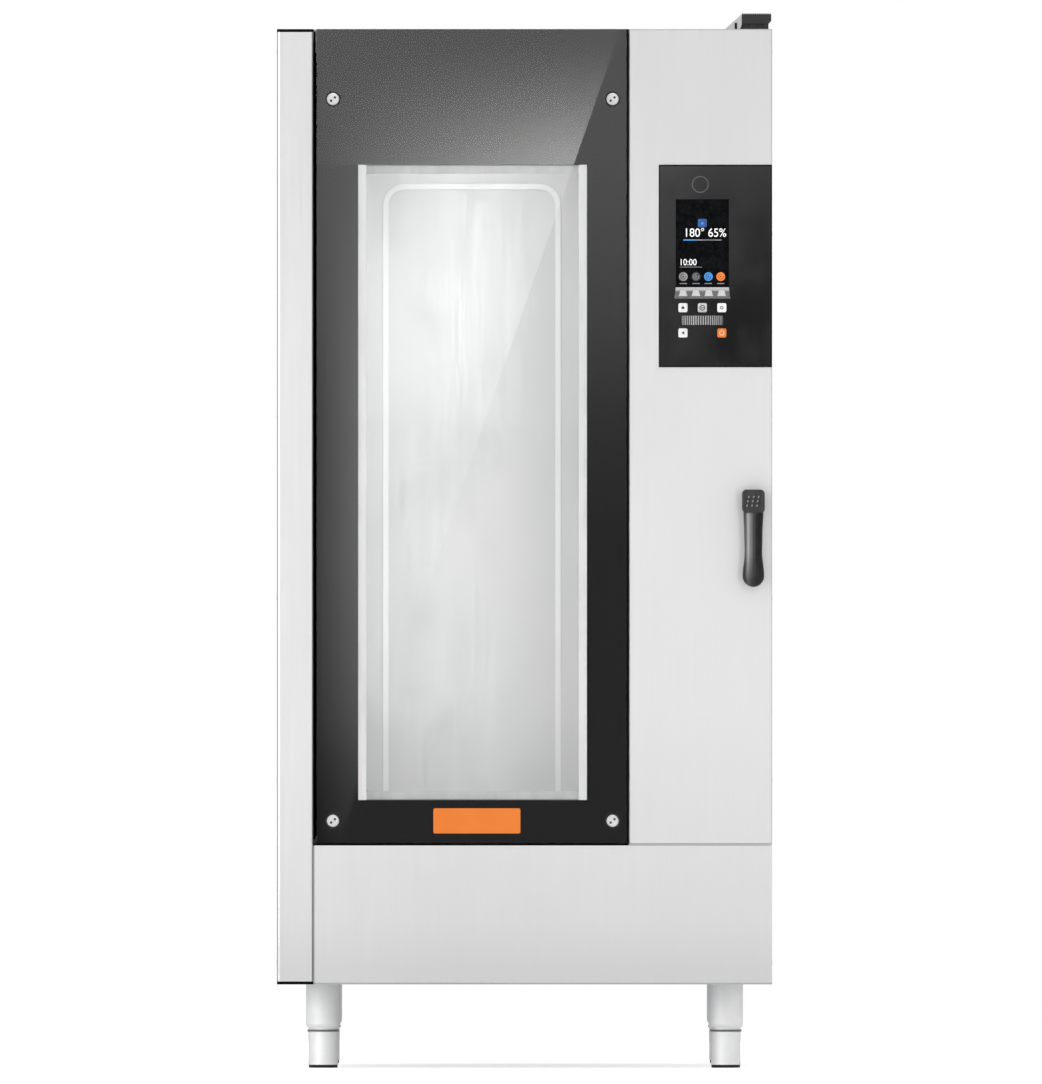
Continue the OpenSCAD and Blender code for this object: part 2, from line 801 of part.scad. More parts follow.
fan_wall_gap = 6;
fan_x = [x_liner - fan_wall_gap - fan_w, x_liner - fan_wall_gap];
motor_face = x_liner + sheet + wool;
motor_flange = [motor_r + 14, 8];
motor_box = [22, 16];   // half width and height of a motor's terminal box
shaft_blind = 12;       // solid length behind a motor's bore

module fan_motors() {
    color(GREY)
        for (z = fan_z)
            difference() {
                union() {
                    rod_x(y_fan, z, [motor_face, motor_face + motor_flange[1]], motor_flange[0]);
                    rod_x(y_fan, z, [motor_face + motor_flange[1], motor_face + motor_len], motor_r);
                    block([motor_face + motor_len / 5, y_fan - motor_box[0], z + motor_r * 0.9],
                        [motor_face + motor_len * 0.8, y_fan + motor_box[0], z + motor_r + motor_box[1]]);
                }
                rod_x(y_fan, z, [motor_face - cut, motor_face + motor_len - shaft_blind],
                    shaft_r + run_gap);
            }
}

// A fan wheel has a back disc, radial blades, a front ring and its shaft
module fan(z) {
    disc_t = 2;
    hub_r = 22;
    ring_w = 32;
    blade_in = 40;
    color(BRIGHT) {
        rod_x(y_fan, z, [fan_x[1] - disc_t, fan_x[1]], fan_r);
        rod_x(y_fan, z, [fan_x[1] - fan_w * 0.8, fan_x[1]], hub_r);
        difference() {
            rod_x(y_fan, z, [fan_x[0], fan_x[0] + disc_t], fan_r);
            rod_x(y_fan, z, [fan_x[0] - cut, fan_x[0] + disc_t + cut], fan_r - ring_w);
        }
        for (i = [0:fan_blades - 1])
            translate([0, y_fan, z])
                rotate([i * 360 / fan_blades, 0, 0])
                    translate([fan_x[0] + disc_t / 2, -disc_t / 2, blade_in])
                        cube([fan_w - disc_t, disc_t, fan_r - blade_in - disc_t]);
        rod_x(y_fan, z, [fan_x[1] - disc_t, motor_face + motor_len - shaft_blind - 2], shaft_r);
    }
}

// Sheet guard over the fan chamber, with rings of inlet holes in front of each fan
inlet_hole = 13;
inlet_ring = 34;
baffle_fold = 12;

module air_baffle() {
    hubs = [baffle_z[0], baffle_z[1] - hub_len];
    color(BRIGHT)
        difference() {
            union() {
                block([x_baffle - sheet / 2, y_body + baffle_edge, baffle_z[0]],
                    [x_baffle + sheet / 2, y_baffle_pin, baffle_z[1]]);
                // Folded front edge
                block([x_baffle - sheet / 2, y_body + baffle_edge, baffle_z[0]],
                    [x_baffle + baffle_fold, y_body + baffle_edge + sheet, baffle_z[1]]);
                for (z = hubs)
                    rod_z(x_baffle, y_baffle_pin, [z, z + hub_len], baffle_hub - 1);
            }
            for (z = hubs)
                rod_z(x_baffle, y_baffle_pin, [z - cut, z + hub_len + cut], baffle_pin_r + run_gap);
            for (z = fan_z, ring = [1:3], i = [0:8 * ring - 1])
                translate([0, y_fan, z])
                    rotate([i * 360 / (8 * ring), 0, 0])
                        rod_x(0, ring * inlet_ring, [x_baffle - sheet, x_baffle + sheet], inlet_hole);
        }
}

// Hinge arms reach from the front frame into the door's corner notches
arm_clear = 1;
hub_r = hinge_back - glass_t - border_t - arm_clear;
arm_w = 14;
notch_w = hinge_in + arm_w + 6;
arm_left = 3;
arm_rise = 3.5;
flange_t = seal_gap / 2;
flange_side = 18;
upper_drop = 32;
lower_drop = 2;
pin_len = 24;

module hinge_arm(drop) {
    linear_extrude(arm_t) {
        circle(hub_r);
        polygon([[0, -hub_r], [arm_left + arm_w, -hub_r], [arm_left + arm_w, y_body - y_hinge],
            [arm_left, y_body - y_hinge], [arm_left, hub_r * 0.7], [0, hub_r]]);
    }
    translate([-flange_side, y_body - y_hinge - flange_t, -drop])
        cube([2 * flange_side, flange_t, drop + arm_t]);
    translate([0, 0, -pin_len]) cylinder(h = pin_len + arm_t / 2, r = pin_r);
}

module hinge_brackets() {
    color(STEEL) {
        translate([x_hinge, y_hinge, z_top - notch_h + arm_rise]) hinge_arm(upper_drop);
        translate([x_hinge, y_hinge, z_door + notch_h - arm_rise])
            mirror([0, 0, 1]) hinge_arm(lower_drop);
    }
}

striker_t = 6;
striker_half = [26, 45];

module latch_striker() {
    color(STEEL)
        difference() {
            block([x_handle - striker_half[0], y_cavity, z_handle - striker_half[1]],
                [x_handle + striker_half[0], y_cavity + striker_t, z_handle + striker_half[1]]);
            block([slot_x[0], y_cavity - cut, slot_z[0]],
                [slot_x[1], y_cavity + striker_t + cut, slot_z[1]]);
        }
}

// Mounting plate on the right panel, with three contactors, terminals and a supply
board_plate = 3;
board_size = [220, 380];     // along Y and along Z
board_low = 420;             // from the underside to the plate
contactor = [60, 50, 90];
terminal = [40, 16, 50];
supply = [50, 180, 90];

module contactor_panel() {
    x = x_right - sheet - board_plate;
    y = y_rear - board_size[0] - 110;
    z = z_base + board_low;
    color(GREY) {
        block([x, y, z], [x + board_plate, y + board_size[0], z + board_size[1]]);
        for (i = [0:2])
            translate([x - contactor[0], y + 15 + i * (contactor[1] + 20), z + 270]) cube(contactor);
        for (i = [0:9])
            translate([x - terminal[0], y + 15 + i * (terminal[1] + 3), z + 150]) cube(terminal);
        translate([x - supply[0], y + 20, z + 20]) cube(supply);
    }
}

// Two threaded water nipples, each with its solenoid valve inside the cabinet
nipple_len = 24;
nipple_wall = 4;
valve = [32, 40, 64];
valve_back = 60;
nut_r = inlet_r + 5;
nut_t = 5;

module water_inlets() {
    color([0.8, 0.7, 0.4])
        for (x = inlet_x)
            difference() {
                union() {
                    rod_y(x, inlet_z, [y_rear - valve_back, y_rear + nipple_len], inlet_r);
                    rod_y(x, inlet_z, [y_rear, y_rear + nut_t], nut_r);
                    translate([x - valve[0] / 2, y_rear - valve_back, inlet_z - valve[0] / 2])
                        cube(valve);
                }
                rod_y(x, inlet_z, [y_rear - valve_back / 2, y_rear + nipple_len + cut],
                    inlet_r - nipple_wall);
            }
}

gland_in = 14;
gland_out = 22;

module cable_gland() {
    color(DARK)
        difference() {
            union() {
                rod_y(gland_x, gland_z, [y_rear - gland_in, y_rear + gland_out], gland_r);
                rod_y(gland_x, gland_z, [y_rear, y_rear + nut_t], gland_r + nut_t);
            }
            rod_y(gland_x, gland_z, [y_rear - gland_in - cut, y_rear + gland_out + cut], gland_bore);
        }
}

// Screws along the edges of the side and rear panels
screw_r = 4.5;
screw_t = 1;
screw_in = 20;
screw_end = 40;
screw_rows = 6;

module panel_screws() {
    step = (body_h - 2 * screw_end) / (screw_rows - 1);
    color(BRIGHT)
        for (i = [0:screw_rows - 1]) {
            z = z_base + screw_end + i * step;
            for (y = [y_body + screw_in, y_rear - screw_in]) {
                rod_x(y, z, [x_left - screw_t, x_left], screw_r);
                rod_x(y, z, [x_right, x_right + screw_t], screw_r);
            }
            for (x = [x_left + screw_in, x_right - screw_in])
                rod_y(x, z, [y_rear, y_rear + screw_t], screw_r);
        }
}

// The door's outline, notched at its two hinge corners, drawn some way inside its edge
module door_outline(inset) {
    x = [x_door + sheet + inset, x_right - sheet - inset];
    z = [z_door + sheet + inset, z_top - sheet - inset];
    nx = x_door + notch_w + inset;
    nz = [z_door + notch_h + inset, z_top - notch_h - inset];
    polygon([[nx, z[0]], [x[1], z[0]], [x[1], z[1]], [nx, z[1]], [nx, nz[1]], [x[0], nz[1]],
        [x[0], nz[0]], [nx, nz[0]]]);
}

module door_slab(inset, y) {
    translate([0, y[1], 0]) rotate([90, 0, 0]) linear_extrude(y[1] - y[0]) door_outline(inset);
}

// Openings in the door's front plate
bay_x = [control_x + 18, screen_x + screen_w + 14];
bay_z = [key_z_lower - key_size - 6, control_z - 40];
block_w = notch_w + 4;
block_h = 32;
block_t = 34;
web_in = 4;

module hinge_block(z) {
    difference() {
        block([x_door + sheet, y_frame, z], [x_door + block_w, y_frame + block_t, z + block_h]);
        rod_z(x_hinge, y_hinge, [z - cut, z + block_h + cut], pin_r + run_gap);
    }
}

module door_frame() {
    y = [y_frame, y_skin - skin];
    frame_window_x = [window_x[0] - skin, window_x[1] + skin];
    frame_window_z = [window_z[0] - skin, window_z[1] + skin];
    color(GREY)
        difference() {
            union() {
                difference() {
                    door_slab(0, y);
                    door_slab(skin, [y[0] + skin, y[1] + cut]);
                }
                hinge_block(z_top - notch_h - block_h);
                hinge_block(z_door + notch_h);
                // Upright web between the window and the control bay
                block([x_fascia - web_in, y[0], z_door + sheet],
                    [x_fascia - web_in + skin, y[1], z_top - sheet]);
            }
            block([frame_window_x[0], y[0] - cut, frame_window_z[0]],
                [frame_window_x[1], y[1] + cut, frame_window_z[1]]);
            block([bay_x[0], y[0] - cut, bay_z[0]], [bay_x[1], y[0] + skin + cut, bay_z[1]]);
            rod_y(x_handle, z_handle, [y[0] - cut, y[0] + skin + cut], base_bush_r);
            for (z = [z_top - notch_h - block_h, z_door + notch_h])
                rod_z(x_hinge, y_hinge, [z - cut, z + block_h + cut], pin_r + run_gap);
        }
}

stud_x = [x_door + stud_side, x_glass - stud_side];
stud_z = [z_door + stud_bottom, z_top - stud_top];
stud_chamfer = 1.5;
stud_key = [3.4, 2.9];   // place of a stud's two key holes, from its axis
stud_key_r = 1.6;
stud_key_t = 1.5;
bolt_r = 4;

module outer_glass() {
    color(GLASS)
        difference() {
            block([x_door, y_door, z_door], [x_glass, y_door + glass_t, z_top]);
            for (x = stud_x, z = stud_z)
                rod_y(x, z, [y_door - cut, y_door + glass_t + cut], bolt_r);
        }
}

module glass_border() {
    y = [y_door + glass_t, y_frame];
    color(DARK)
        difference() {
            block([x_door, y[0], z_door], [x_glass, y[1], z_top]);
            block([window_x[0], y[0] - cut, window_z[0]], [window_x[1], y[1] + cut, window_z[1]]);
            for (x = stud_x, z = stud_z)
                rod_y(x, z, [y[0] - cut, y[1] + cut], bolt_r);
        }
}

module glass_studs() {
    color(BRIGHT)
        for (x = stud_x, z = stud_z)
            translate([x, y_door, z])
                rotate([90, 0, 0])
                    difference() {
                        union() {
                            cylinder(h = stud_t - stud_chamfer, r = stud_r);
                            translate([0, 0, stud_t - stud_chamfer])
                                cylinder(h = stud_chamfer, r1 = stud_r, r2 = stud_r - stud_chamfer);
                            translate([0, 0, -(glass_t + border_t)])
                                cylinder(h = glass_t + border_t, r = bolt_r);
                        }
                        for (side = [-1, 1])
                            translate([side * stud_key[0], side * stud_key[1], stud_t - stud_key_t])
                                cylinder(h = stud_key_t + cut, r = stud_key_r);
                    }
}

badge_t = 2;
badge_corner = 3;

module badge_plate() {
    mid = (window_x[0] + window_x[1]) / 2 + badge_right;
    z = z_door + badge_up;
    color(ORANGE)
        plate([mid - badge_w / 2, mid + badge_w / 2], [z, z + badge_h],
            [y_door - badge_t, y_door], badge_corner);
}

// Folded steel front at the door's right, with an opening behind the control glass
module side_fascia() {
    y_fold = y_skin - skin;
    color(STEEL)
        difference() {
            block([x_fascia, y_door, z_door], [x_right, y_fold, z_top]);
            // Hollow behind the front sheet, open to the left and the back
            block([x_fascia - cut, y_frame, z_door + sheet],
                [x_right - sheet, y_fold + cut, z_top - sheet]);
            block([x_fascia + sheet, y_door + sheet, z_door + sheet],
                [x_right - sheet, y_fold, z_top - sheet]);
            block([bay_x[0], y_door - cut, bay_z[0]], [bay_x[1], y_door + sheet + cut, bay_z[1]]);
            rod_y(x_handle, z_handle, [y_door - cut, y_door + sheet + cut], base_bush_r);
        }
}

// Back sheet of the door, with the window's reveal folded forward
inner_corner = 6;

module inner_skin() {
    y = [y_skin - skin, y_skin];
    color(BRIGHT)
        difference() {
            union() {
                door_slab(0, y);
                block([window_x[0] - skin, y_frame, window_z[0] - skin],
                    [window_x[1] + skin, y[0], window_z[1] + skin]);
            }
            block([window_x[0], y_frame - cut, window_z[0]], [window_x[1], y[0], window_z[1]]);
            plate(inner_x, inner_z, [y[0] - cut, y[1] + cut], inner_corner);
            rod_y(x_handle, z_handle, [y[0] - cut, y[1] + cut], base_bush_r);
        }
}

module inner_glass() {
    y = [y_skin - skin - inner_glass_t, y_skin - skin];
    color(GLASS)
        block([window_x[0], y[0], window_z[0]], [window_x[1], y[1], window_z[1]]);
}

// Light bars at both sides of the window, between the panes
led_in = 4;
led_t = 12;

module led_bars() {
    y = y_frame + led_in;
    color(BRIGHT)
        for (x = [window_x[0], window_x[1] - reveal])
            block([x, y, window_z[0]], [x + reveal, y + led_t, window_z[1]]);
}

// Square keys, left to right in the upper row, then the lower row
key_places = [
    [screen_mid - key_pitch, key_z_upper],
    [screen_mid, key_z_upper],
    [screen_mid + key_pitch, key_z_upper],
    [screen_mid - key_pitch, key_z_lower],
    [screen_mid + key_pitch, key_z_lower]];
key_corner = 3;
key_lip = 1;         // how far a key's flange reaches behind the glass
stem_r = 3;

module key_outline(place, grow, y) {
    half = key_size / 2 + grow;
    plate([place[0] - half, place[0] + half], [place[1] - half, place[1] + half], y, key_corner);
}

module key(i, tone) {
    color(tone) {
        key_outline(key_places[i], 0, [y_control - key_out, y_door + key_flange]);
        key_outline(key_places[i], key_lip, [y_door + key_gap, y_door + key_gap + key_flange]);
        rod_y(key_places[i][0], key_places[i][1], [y_door + key_gap, y_door + key_stem], stem_r);
    }
}

wheel_half = sqrt(pow(wheel_r, 2) - pow(y_wheel - y_control, 2)) + wheel_slot;

module control_glass() {
    y = [y_control, y_door];
    color(DARK)
        difference() {
            block([control_x, y[0], control_z - control_h], [x_right, y[1], control_z]);
            block([screen_x, y[0] - cut, bezel_z], [screen_x + screen_w, y[1] + cut, screen_z]);
            for (p = key_places) key_outline(p, key_gap, [y[0] - cut, y[1] + cut]);
            block([screen_mid - wheel_half - 1, y[0] - cut, wheel_z - wheel_h / 2 - wheel_slot],
                [screen_mid + wheel_half + 1, y[1] + cut, wheel_z + wheel_h / 2 + wheel_slot]);
            for (i = [0:3]) soft_outline(i, key_gap, [y[0] - cut, y[1] + cut]);
        }
}

screen_in = 0.6;
screen_back = 7;

module display_screen() {
    color([0.03, 0.03, 0.03])
        block([screen_x, y_control + screen_in, bezel_z],
            [screen_x + screen_w, y_door + screen_back, screen_z]);
}

// Soft keys below the screen are trapezoids in a sloping bar
soft_low = 8;
soft_high = 4.5;
soft_h = 11;
soft_z = bezel_z - bezel_h / 2;
bezel_over = 2.6;
bezel_rise = 1.5;

module soft_outline(i, grow, y) {
    x = screen_mid + (i - 1.5) * soft_pitch;
    translate([x, y[1], soft_z])
        rotate([90, 0, 0])
            linear_extrude(y[1] - y[0])
                polygon([[-soft_low - grow, -soft_h / 2 - grow], [soft_low + grow, -soft_h / 2 - grow],
                    [soft_high + grow, soft_h / 2 + grow], [-soft_high - grow, soft_h / 2 + grow]]);
}

module softkey_bezel() {
    low = screen_w / 2 + bezel_over;
    high = screen_w / 2;
    half = bezel_h / 2;
    color(GREY)
        difference() {
            translate([screen_mid, y_control, soft_z])
                rotate([90, 0, 0])
                    linear_extrude(bezel_rise)
                        polygon([[-low, -half], [low, -half], [high, half], [-high, half]]);
            for (i = [0:3]) soft_outline(i, key_gap, [y_control - bezel_rise - cut, y_control + cut]);
        }
}

module softkey(i) {
    color(BRIGHT) {
        soft_outline(i, 0, [y_control - key_out - key_gap, y_door + key_flange]);
        soft_outline(i, key_lip, [y_door + key_gap, y_door + key_gap + key_flange]);
        rod_y(screen_mid + (i - 1.5) * soft_pitch, soft_z,
            [y_door + key_gap, y_door + key_stem], stem_r);
    }
}

// Circuit board behind the keys, held at its corners, with the scroll wheel's fork
fork_t = 3;
fork_half = 6;       // half of the fork's width
fork_foot = [wheel_r + 2, wheel_r + 10];
axle_r = 3;
board_in = 3;
tab = 8;

module control_board() {
    x = [bay_x[0] + board_in, bay_x[1] - board_in];
    z = [bay_z[0] + board_in, bay_z[1] - board_in];
    fork_z = wheel_h / 2 + touch;
    arm_z = fork_z + fork_t;
    foot_x = [screen_mid + fork_foot[0], screen_mid + fork_foot[1]];
    color([0.1, 0.35, 0.2]) {
        difference() {
            block([x[0], y_board, z[0]], [x[1], y_board + board_t, z[1]]);
            block([screen_mid - fork_foot[0], y_board - cut, wheel_z - arm_z - 1],
                [foot_x[0], y_board + board_t + cut, wheel_z + arm_z + 1]);
        }
        for (px = [bay_x[0] - tab / 2, bay_x[1] - tab / 2], pz = [z[0], z[1] - tab])
            block([px, y_frame + skin, pz], [px + tab, y_board + board_t, pz + tab]);
        // The fork's two arms, its foot and the wheel's axle
        for (z0 = [wheel_z - arm_z, wheel_z + fork_z])
            block([screen_mid - fork_half, y_wheel - fork_half, z0],
                [foot_x[1], y_wheel + fork_half, z0 + fork_t]);
        block([foot_x[0], y_board, wheel_z - arm_z], [foot_x[1], y_wheel + fork_half, wheel_z + arm_z]);
        rod_z(screen_mid, y_wheel, [wheel_z - arm_z, wheel_z + arm_z], axle_r);
    }
}

// Ribbed wheel on a vertical axle, seen through a slot in the control glass
rib_deep = 1.4;
rib_low = wheel_r - rib_deep;
rib_angles = [0.1, 0.2, 0.55, 0.65];   // shares of one pitch: foot, crest, crest, foot
rib_radii = [rib_low, wheel_r, wheel_r, rib_low];

module scroll_wheel() {
    pitch = 360 / wheel_ribs;
    color(GREY)
        translate([screen_mid, y_wheel, wheel_z - wheel_h / 2])
            linear_extrude(wheel_h)
                difference() {
                    polygon([for (i = [0:wheel_ribs - 1], k = [0:3])
                        let (a = (i + rib_angles[k]) * pitch) rib_radii[k] * [cos(a), sin(a)]]);
                    circle(axle_r + run_gap);
                }
}

// Round plate and bush that carry the handle's spindle through the door
base_r = 20;
base_t = 6;
base_bush_r = 14;

module handle_base() {
    color(GREY)
        difference() {
            union() {
                rod_y(x_handle, z_handle, [y_door - base_t, y_door], base_r);
                rod_y(x_handle, z_handle, [y_door - base_t, y_skin], base_bush_r);
            }
            rod_y(x_handle, z_handle, [y_door - base_t - cut, y_skin + cut], spindle_r + run_gap);
        }
}

grip_t = 24;
grip_facets = 32;
grip_top = 36;       // width of the grip where it leaves the head
grip_in = 8;         // how far the grip starts inside the head
head_corner = 5;
dimple = [6, 5];
dimple_pitch = [9, 8];
dimple_t = 0.8;

// A flattened ball, from which the grip's swelling outline is hulled
module grip_ball(w, drop) {
    translate([x_handle, y_front + head_t / 2, z_handle - drop])
        scale([w / grip_t, 1, 1]) sphere(d = grip_t, $fn = grip_facets);
}

module handle_grip() {
    waist = head_h / 2 + grip_len * 0.45;
    end = head_h / 2 + grip_len - grip_t / 2;
    color(DARK) {
        difference() {
            plate([x_handle - head_w / 2, x_handle + head_w / 2],
                [z_handle - head_h / 2, z_handle + head_h / 2], [y_front, y_front + head_t], head_corner);
            // A field of small dimples
            for (i = [-1:1], j = [-1:1])
                translate([x_handle + i * dimple_pitch[0] - dimple[0] / 2, y_front - cut,
                    z_handle + j * dimple_pitch[1] - dimple[1] / 2])
                    cube([dimple[0], cut + dimple_t, dimple[1]]);
        }
        hull() {
            grip_ball(grip_top, head_h / 2 - grip_in);
            grip_ball(grip_waist, waist);
        }
        hull() {
            grip_ball(grip_waist, waist);
            grip_ball(grip_end, end);
        }
    }
}

// Spindle with a collar under the head and the latch bar at its inner end
collar_r = 16;
bar_gap = 0.5;

module handle_spindle() {
    y_bar = y_cavity + striker_t + bar_gap;
    color(STEEL) {
        rod_y(x_handle, z_handle, [y_front + head_t, y_bar + bar_t], spindle_r);
        rod_y(x_handle, z_handle, [y_front + head_t, y_door - base_t - touch], collar_r);
        block([x_handle - bar_w / 2, y_bar, z_handle - bar_len / 2],
            [x_handle + bar_w / 2, y_bar + bar_t, z_handle + bar_len / 2]);
    }
}

base_frame();
leg_sleeves();
bottom_pan();
left_side_panel();
right_side_panel();
rear_panel();
top_panel();
front_frame();
plinth_panel();
left_column();
column_caps();
cavity_liner();
cavity_insulation();
door_gasket();
drain_pipe();
heating_elements();
fan_motors();
exhaust_duct();
vent_shield();
vent_cap();
hinge_brackets();
latch_striker();
contactor_panel();
water_inlets();
cable_gland();
panel_screws();
fan(fan_z[1]);  // fan_upper
fan(fan_z[0]);  // fan_lower
air_baffle();
vent_damper();
foot(leg_x[0], leg_y[0]);  // foot_front_left
foot(leg_x[1], leg_y[0]);  // foot_front_right
foot(leg_x[0], leg_y[1]);  // foot_rear_left
foot(leg_x[1], leg_y[1]);  // foot_rear_right
door_frame();
outer_glass();
glass_border();
glass_studs();
badge_plate();
side_fascia();
inner_skin();
inner_glass();
led_bars();
control_glass();
display_screen();
softkey_bezel();
control_board();
handle_base();
scroll_wheel();
handle_grip();
handle_spindle();
softkey(0);  // softkey_1
softkey(1);  // softkey_2
softkey(2);  // softkey_3
softkey(3);  // softkey_4
key(0, BRIGHT);  // key_home
key(1, GREY);  // key_mode
key(2, BRIGHT);  // key_light
key(3, BRIGHT);  // key_back
key(4, ORANGE);  // key_start
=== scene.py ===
"""Tall combi oven on four legs, dressed for the camera on its packed construction frame.

Axes are the frame's own: X to the right, -Y towards the viewer, Z up. The pieces' outlines are in
millimetres; materials, camera, card and lamps are in metres.
"""

import math

import bmesh
import bpy
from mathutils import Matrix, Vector


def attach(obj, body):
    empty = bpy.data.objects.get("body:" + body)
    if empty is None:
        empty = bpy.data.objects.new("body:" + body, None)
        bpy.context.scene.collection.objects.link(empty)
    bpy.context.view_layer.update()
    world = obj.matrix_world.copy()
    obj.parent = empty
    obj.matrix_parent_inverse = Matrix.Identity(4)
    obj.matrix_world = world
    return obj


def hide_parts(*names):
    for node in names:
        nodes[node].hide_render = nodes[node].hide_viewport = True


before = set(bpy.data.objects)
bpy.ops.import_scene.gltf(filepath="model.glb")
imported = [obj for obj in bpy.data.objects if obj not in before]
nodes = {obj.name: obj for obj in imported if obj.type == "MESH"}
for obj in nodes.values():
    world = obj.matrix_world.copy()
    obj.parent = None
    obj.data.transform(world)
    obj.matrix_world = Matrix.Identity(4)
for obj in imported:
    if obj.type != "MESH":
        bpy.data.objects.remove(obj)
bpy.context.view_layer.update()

MM = 0.001


# ---------------------------------------------------------------- material kit

def light(code):
    """An sRGB code such as "d8d8d8", as a linear colour."""
    parts = [int(code[i:i + 2], 16) / 255 for i in (0, 2, 4)]
    return tuple(c / 12.92 if c <= 0.04045 else ((c + 0.055) / 1.055) ** 2.4 for c in parts) + (1.0,)


class Material:
    """A Principled material whose textures run over the object's own metres."""

    def __init__(self, name, **values):
        self.made = bpy.data.materials.new(name)
        self.made.use_nodes = True
        self.tree = self.made.node_tree
        self.shader = self.tree.nodes["Principled BSDF"]
        self.place = self.node("TexCoord").outputs["Object"]
        for key, value in values.items():
            self.shader.inputs[key.replace("_", " ")].default_value = value

    def node(self, kind, **settings):
        made = self.tree.nodes.new("ShaderNode" + kind)
        for key, value in settings.items():
            setattr(made, key, value)
        return made

    def link(self, output, socket):
        self.tree.links.new(output, socket)

    def to(self, name, output):
        self.link(output, self.shader.inputs[name])

    def stretched(self, scale, turn=(0, 0, 0)):
        made = self.node("Mapping")
        made.inputs["Scale"].default_value = scale
        made.inputs["Rotation"].default_value = turn
        self.link(self.place, made.inputs["Vector"])
        return made.outputs["Vector"]

    def noise(self, scale, detail=3.0, rough=0.5, bend=0.0):
        """Noise of that many cells per metre along X, Y and Z."""
        made = self.node("TexNoise")
        self.link(self.stretched(scale), made.inputs["Vector"])
        made.inputs["Scale"].default_value = 1.0
        made.inputs["Detail"].default_value = detail
        made.inputs["Roughness"].default_value = rough
        made.inputs["Distortion"].default_value = bend
        return made.outputs["Fac"]

    def cells(self, scale, feature="F1"):
        made = self.node("TexVoronoi", feature=feature)
        self.link(self.stretched(scale), made.inputs["Vector"])
        made.inputs["Scale"].default_value = 1.0
        return made.outputs["Distance"]

    def ramp(self, factor, stops, smooth=False):
        """Colours over a factor, as (place, "rrggbb") or (place, grey)."""
        made = self.node("ValToRGB")
        band = made.color_ramp
        band.interpolation = "EASE" if smooth else "LINEAR"
        while len(band.elements) < len(stops):
            band.elements.new(0.5)
        for spot, (at, tone) in zip(band.elements, stops):
            spot.position = at
            spot.color = light(tone) if isinstance(tone, str) else (tone, tone, tone, 1.0)
        self.link(factor, made.inputs["Fac"])
        return made.outputs["Color"]

    def spread(self, factor, low, high, start=0.0, end=1.0):
        """Maps start..end of a factor to low..high."""
        made = self.node("MapRange", clamp=True)
        self.link(factor, made.inputs["Value"])
        for key, value in (("From Min", start), ("From Max", end), ("To Min", low), ("To Max", high)):
            made.inputs[key].default_value = value
        return made.outputs["Result"]

    def math(self, operation, first, second):
        made = self.node("Math", operation=operation)
        for socket, value in zip(made.inputs, (first, second)):
            if isinstance(value, (int, float)):
                socket.default_value = value
            else:
                self.link(value, socket)
        return made.outputs["Value"]

    def mix(self, factor, first, second, blend="MIX"):
        """A colour mix. The two colours are outputs or "rrggbb"."""
        made = self.node("Mix", data_type="RGBA", blend_type=blend)
        factor_socket, a, b = made.inputs["Factor"], made.inputs[6], made.inputs[7]
        if isinstance(factor, (int, float)):
            factor_socket.default_value = factor
        else:
            self.link(factor, factor_socket)
        for socket, value in ((a, first), (b, second)):
            if isinstance(value, str):
                socket.default_value = light(value)
            else:
                self.link(value, socket)
        return made.outputs[2]

    def part(self, axis):
        """One coordinate of the place, in metres."""
        made = self.node("SeparateXYZ")
        self.link(self.place, made.inputs[0])
        return made.outputs[axis]

    def bump(self, height, depth, strength):
        made = self.node("Bump")
        made.inputs["Strength"].default_value = strength
        made.inputs["Distance"].default_value = depth
        self.link(height, made.inputs["Height"])
        self.to("Normal", made.outputs["Normal"])


GRAIN = {"x": (5, 900, 900), "z": (900, 900, 5)}
# Painted shade: the steel darker towards the floor and the roof, as (half the height in metres, grey)
HEIGHT_SHADE = [(0.09, 0.85), (0.135, 0.925), (0.19, 0.95), (0.337, 1.0), (0.61, 1.0), (0.75, 0.967), (0.86, 0.94)]


def steel(name, tone, darker, grain="z", rough=0.34, edge=None):
    """Brushed sheet: fine lines along the grain, slow clouds, and a few rubbed patches.

    Painted shade turns it a flat darker grey between and past the two places across named by edge, on the sheet's
    folded side.
    """
    m = Material(name, Metallic=1.0)
    lines = m.noise(GRAIN[grain], detail=2.0, rough=0.7)
    clouds = m.noise((2.2, 2.2, 1.4), detail=2.0)
    base = m.ramp(clouds, [(0.3, darker), (0.7, tone)], smooth=True)
    # Painted shade towards the floor and the roof, multiplied into the colour
    base = m.mix(1.0, base, m.ramp(m.math("MULTIPLY", m.part(2), 0.5), HEIGHT_SHADE), "MULTIPLY")
    # Painted shade on the folded side, past the places named by edge
    if edge:
        base = m.mix(m.spread(m.part(0), 0.0, 1.0, *edge), base, "949494")
    m.to("Base Color", m.mix(0.05, base, m.ramp(lines, [(0.3, 0.25), (0.7, 1.0)]), "MULTIPLY"))
    rubbed = m.noise((14, 14, 9), detail=5.0, rough=0.6)
    m.to("Roughness", m.math("ADD", m.spread(lines, rough - 0.05, rough + 0.05, 0.3, 0.7),
                             m.spread(rubbed, 0.0, 0.04, 0.52, 0.7)))
    m.bump(lines, 0.00002, 0.25)
    return m.made


# Tint of turned metal where it turns away
RIM = (0.25, 0.25, 0.25, 1.0)


def zinc(name):
    """Galvanized sheet with its faint spangle."""
    m = Material(name, Metallic=1.0)
    spangle = m.cells((120, 120, 120))
    m.to("Base Color", m.ramp(spangle, [(0.1, "9fa3a8"), (0.8, "b9bcc0")]))
    m.to("Roughness", m.spread(m.noise((60, 60, 60)), 0.34, 0.52, 0.3, 0.7))
    m.bump(spangle, 0.00003, 0.3)
    return m.made


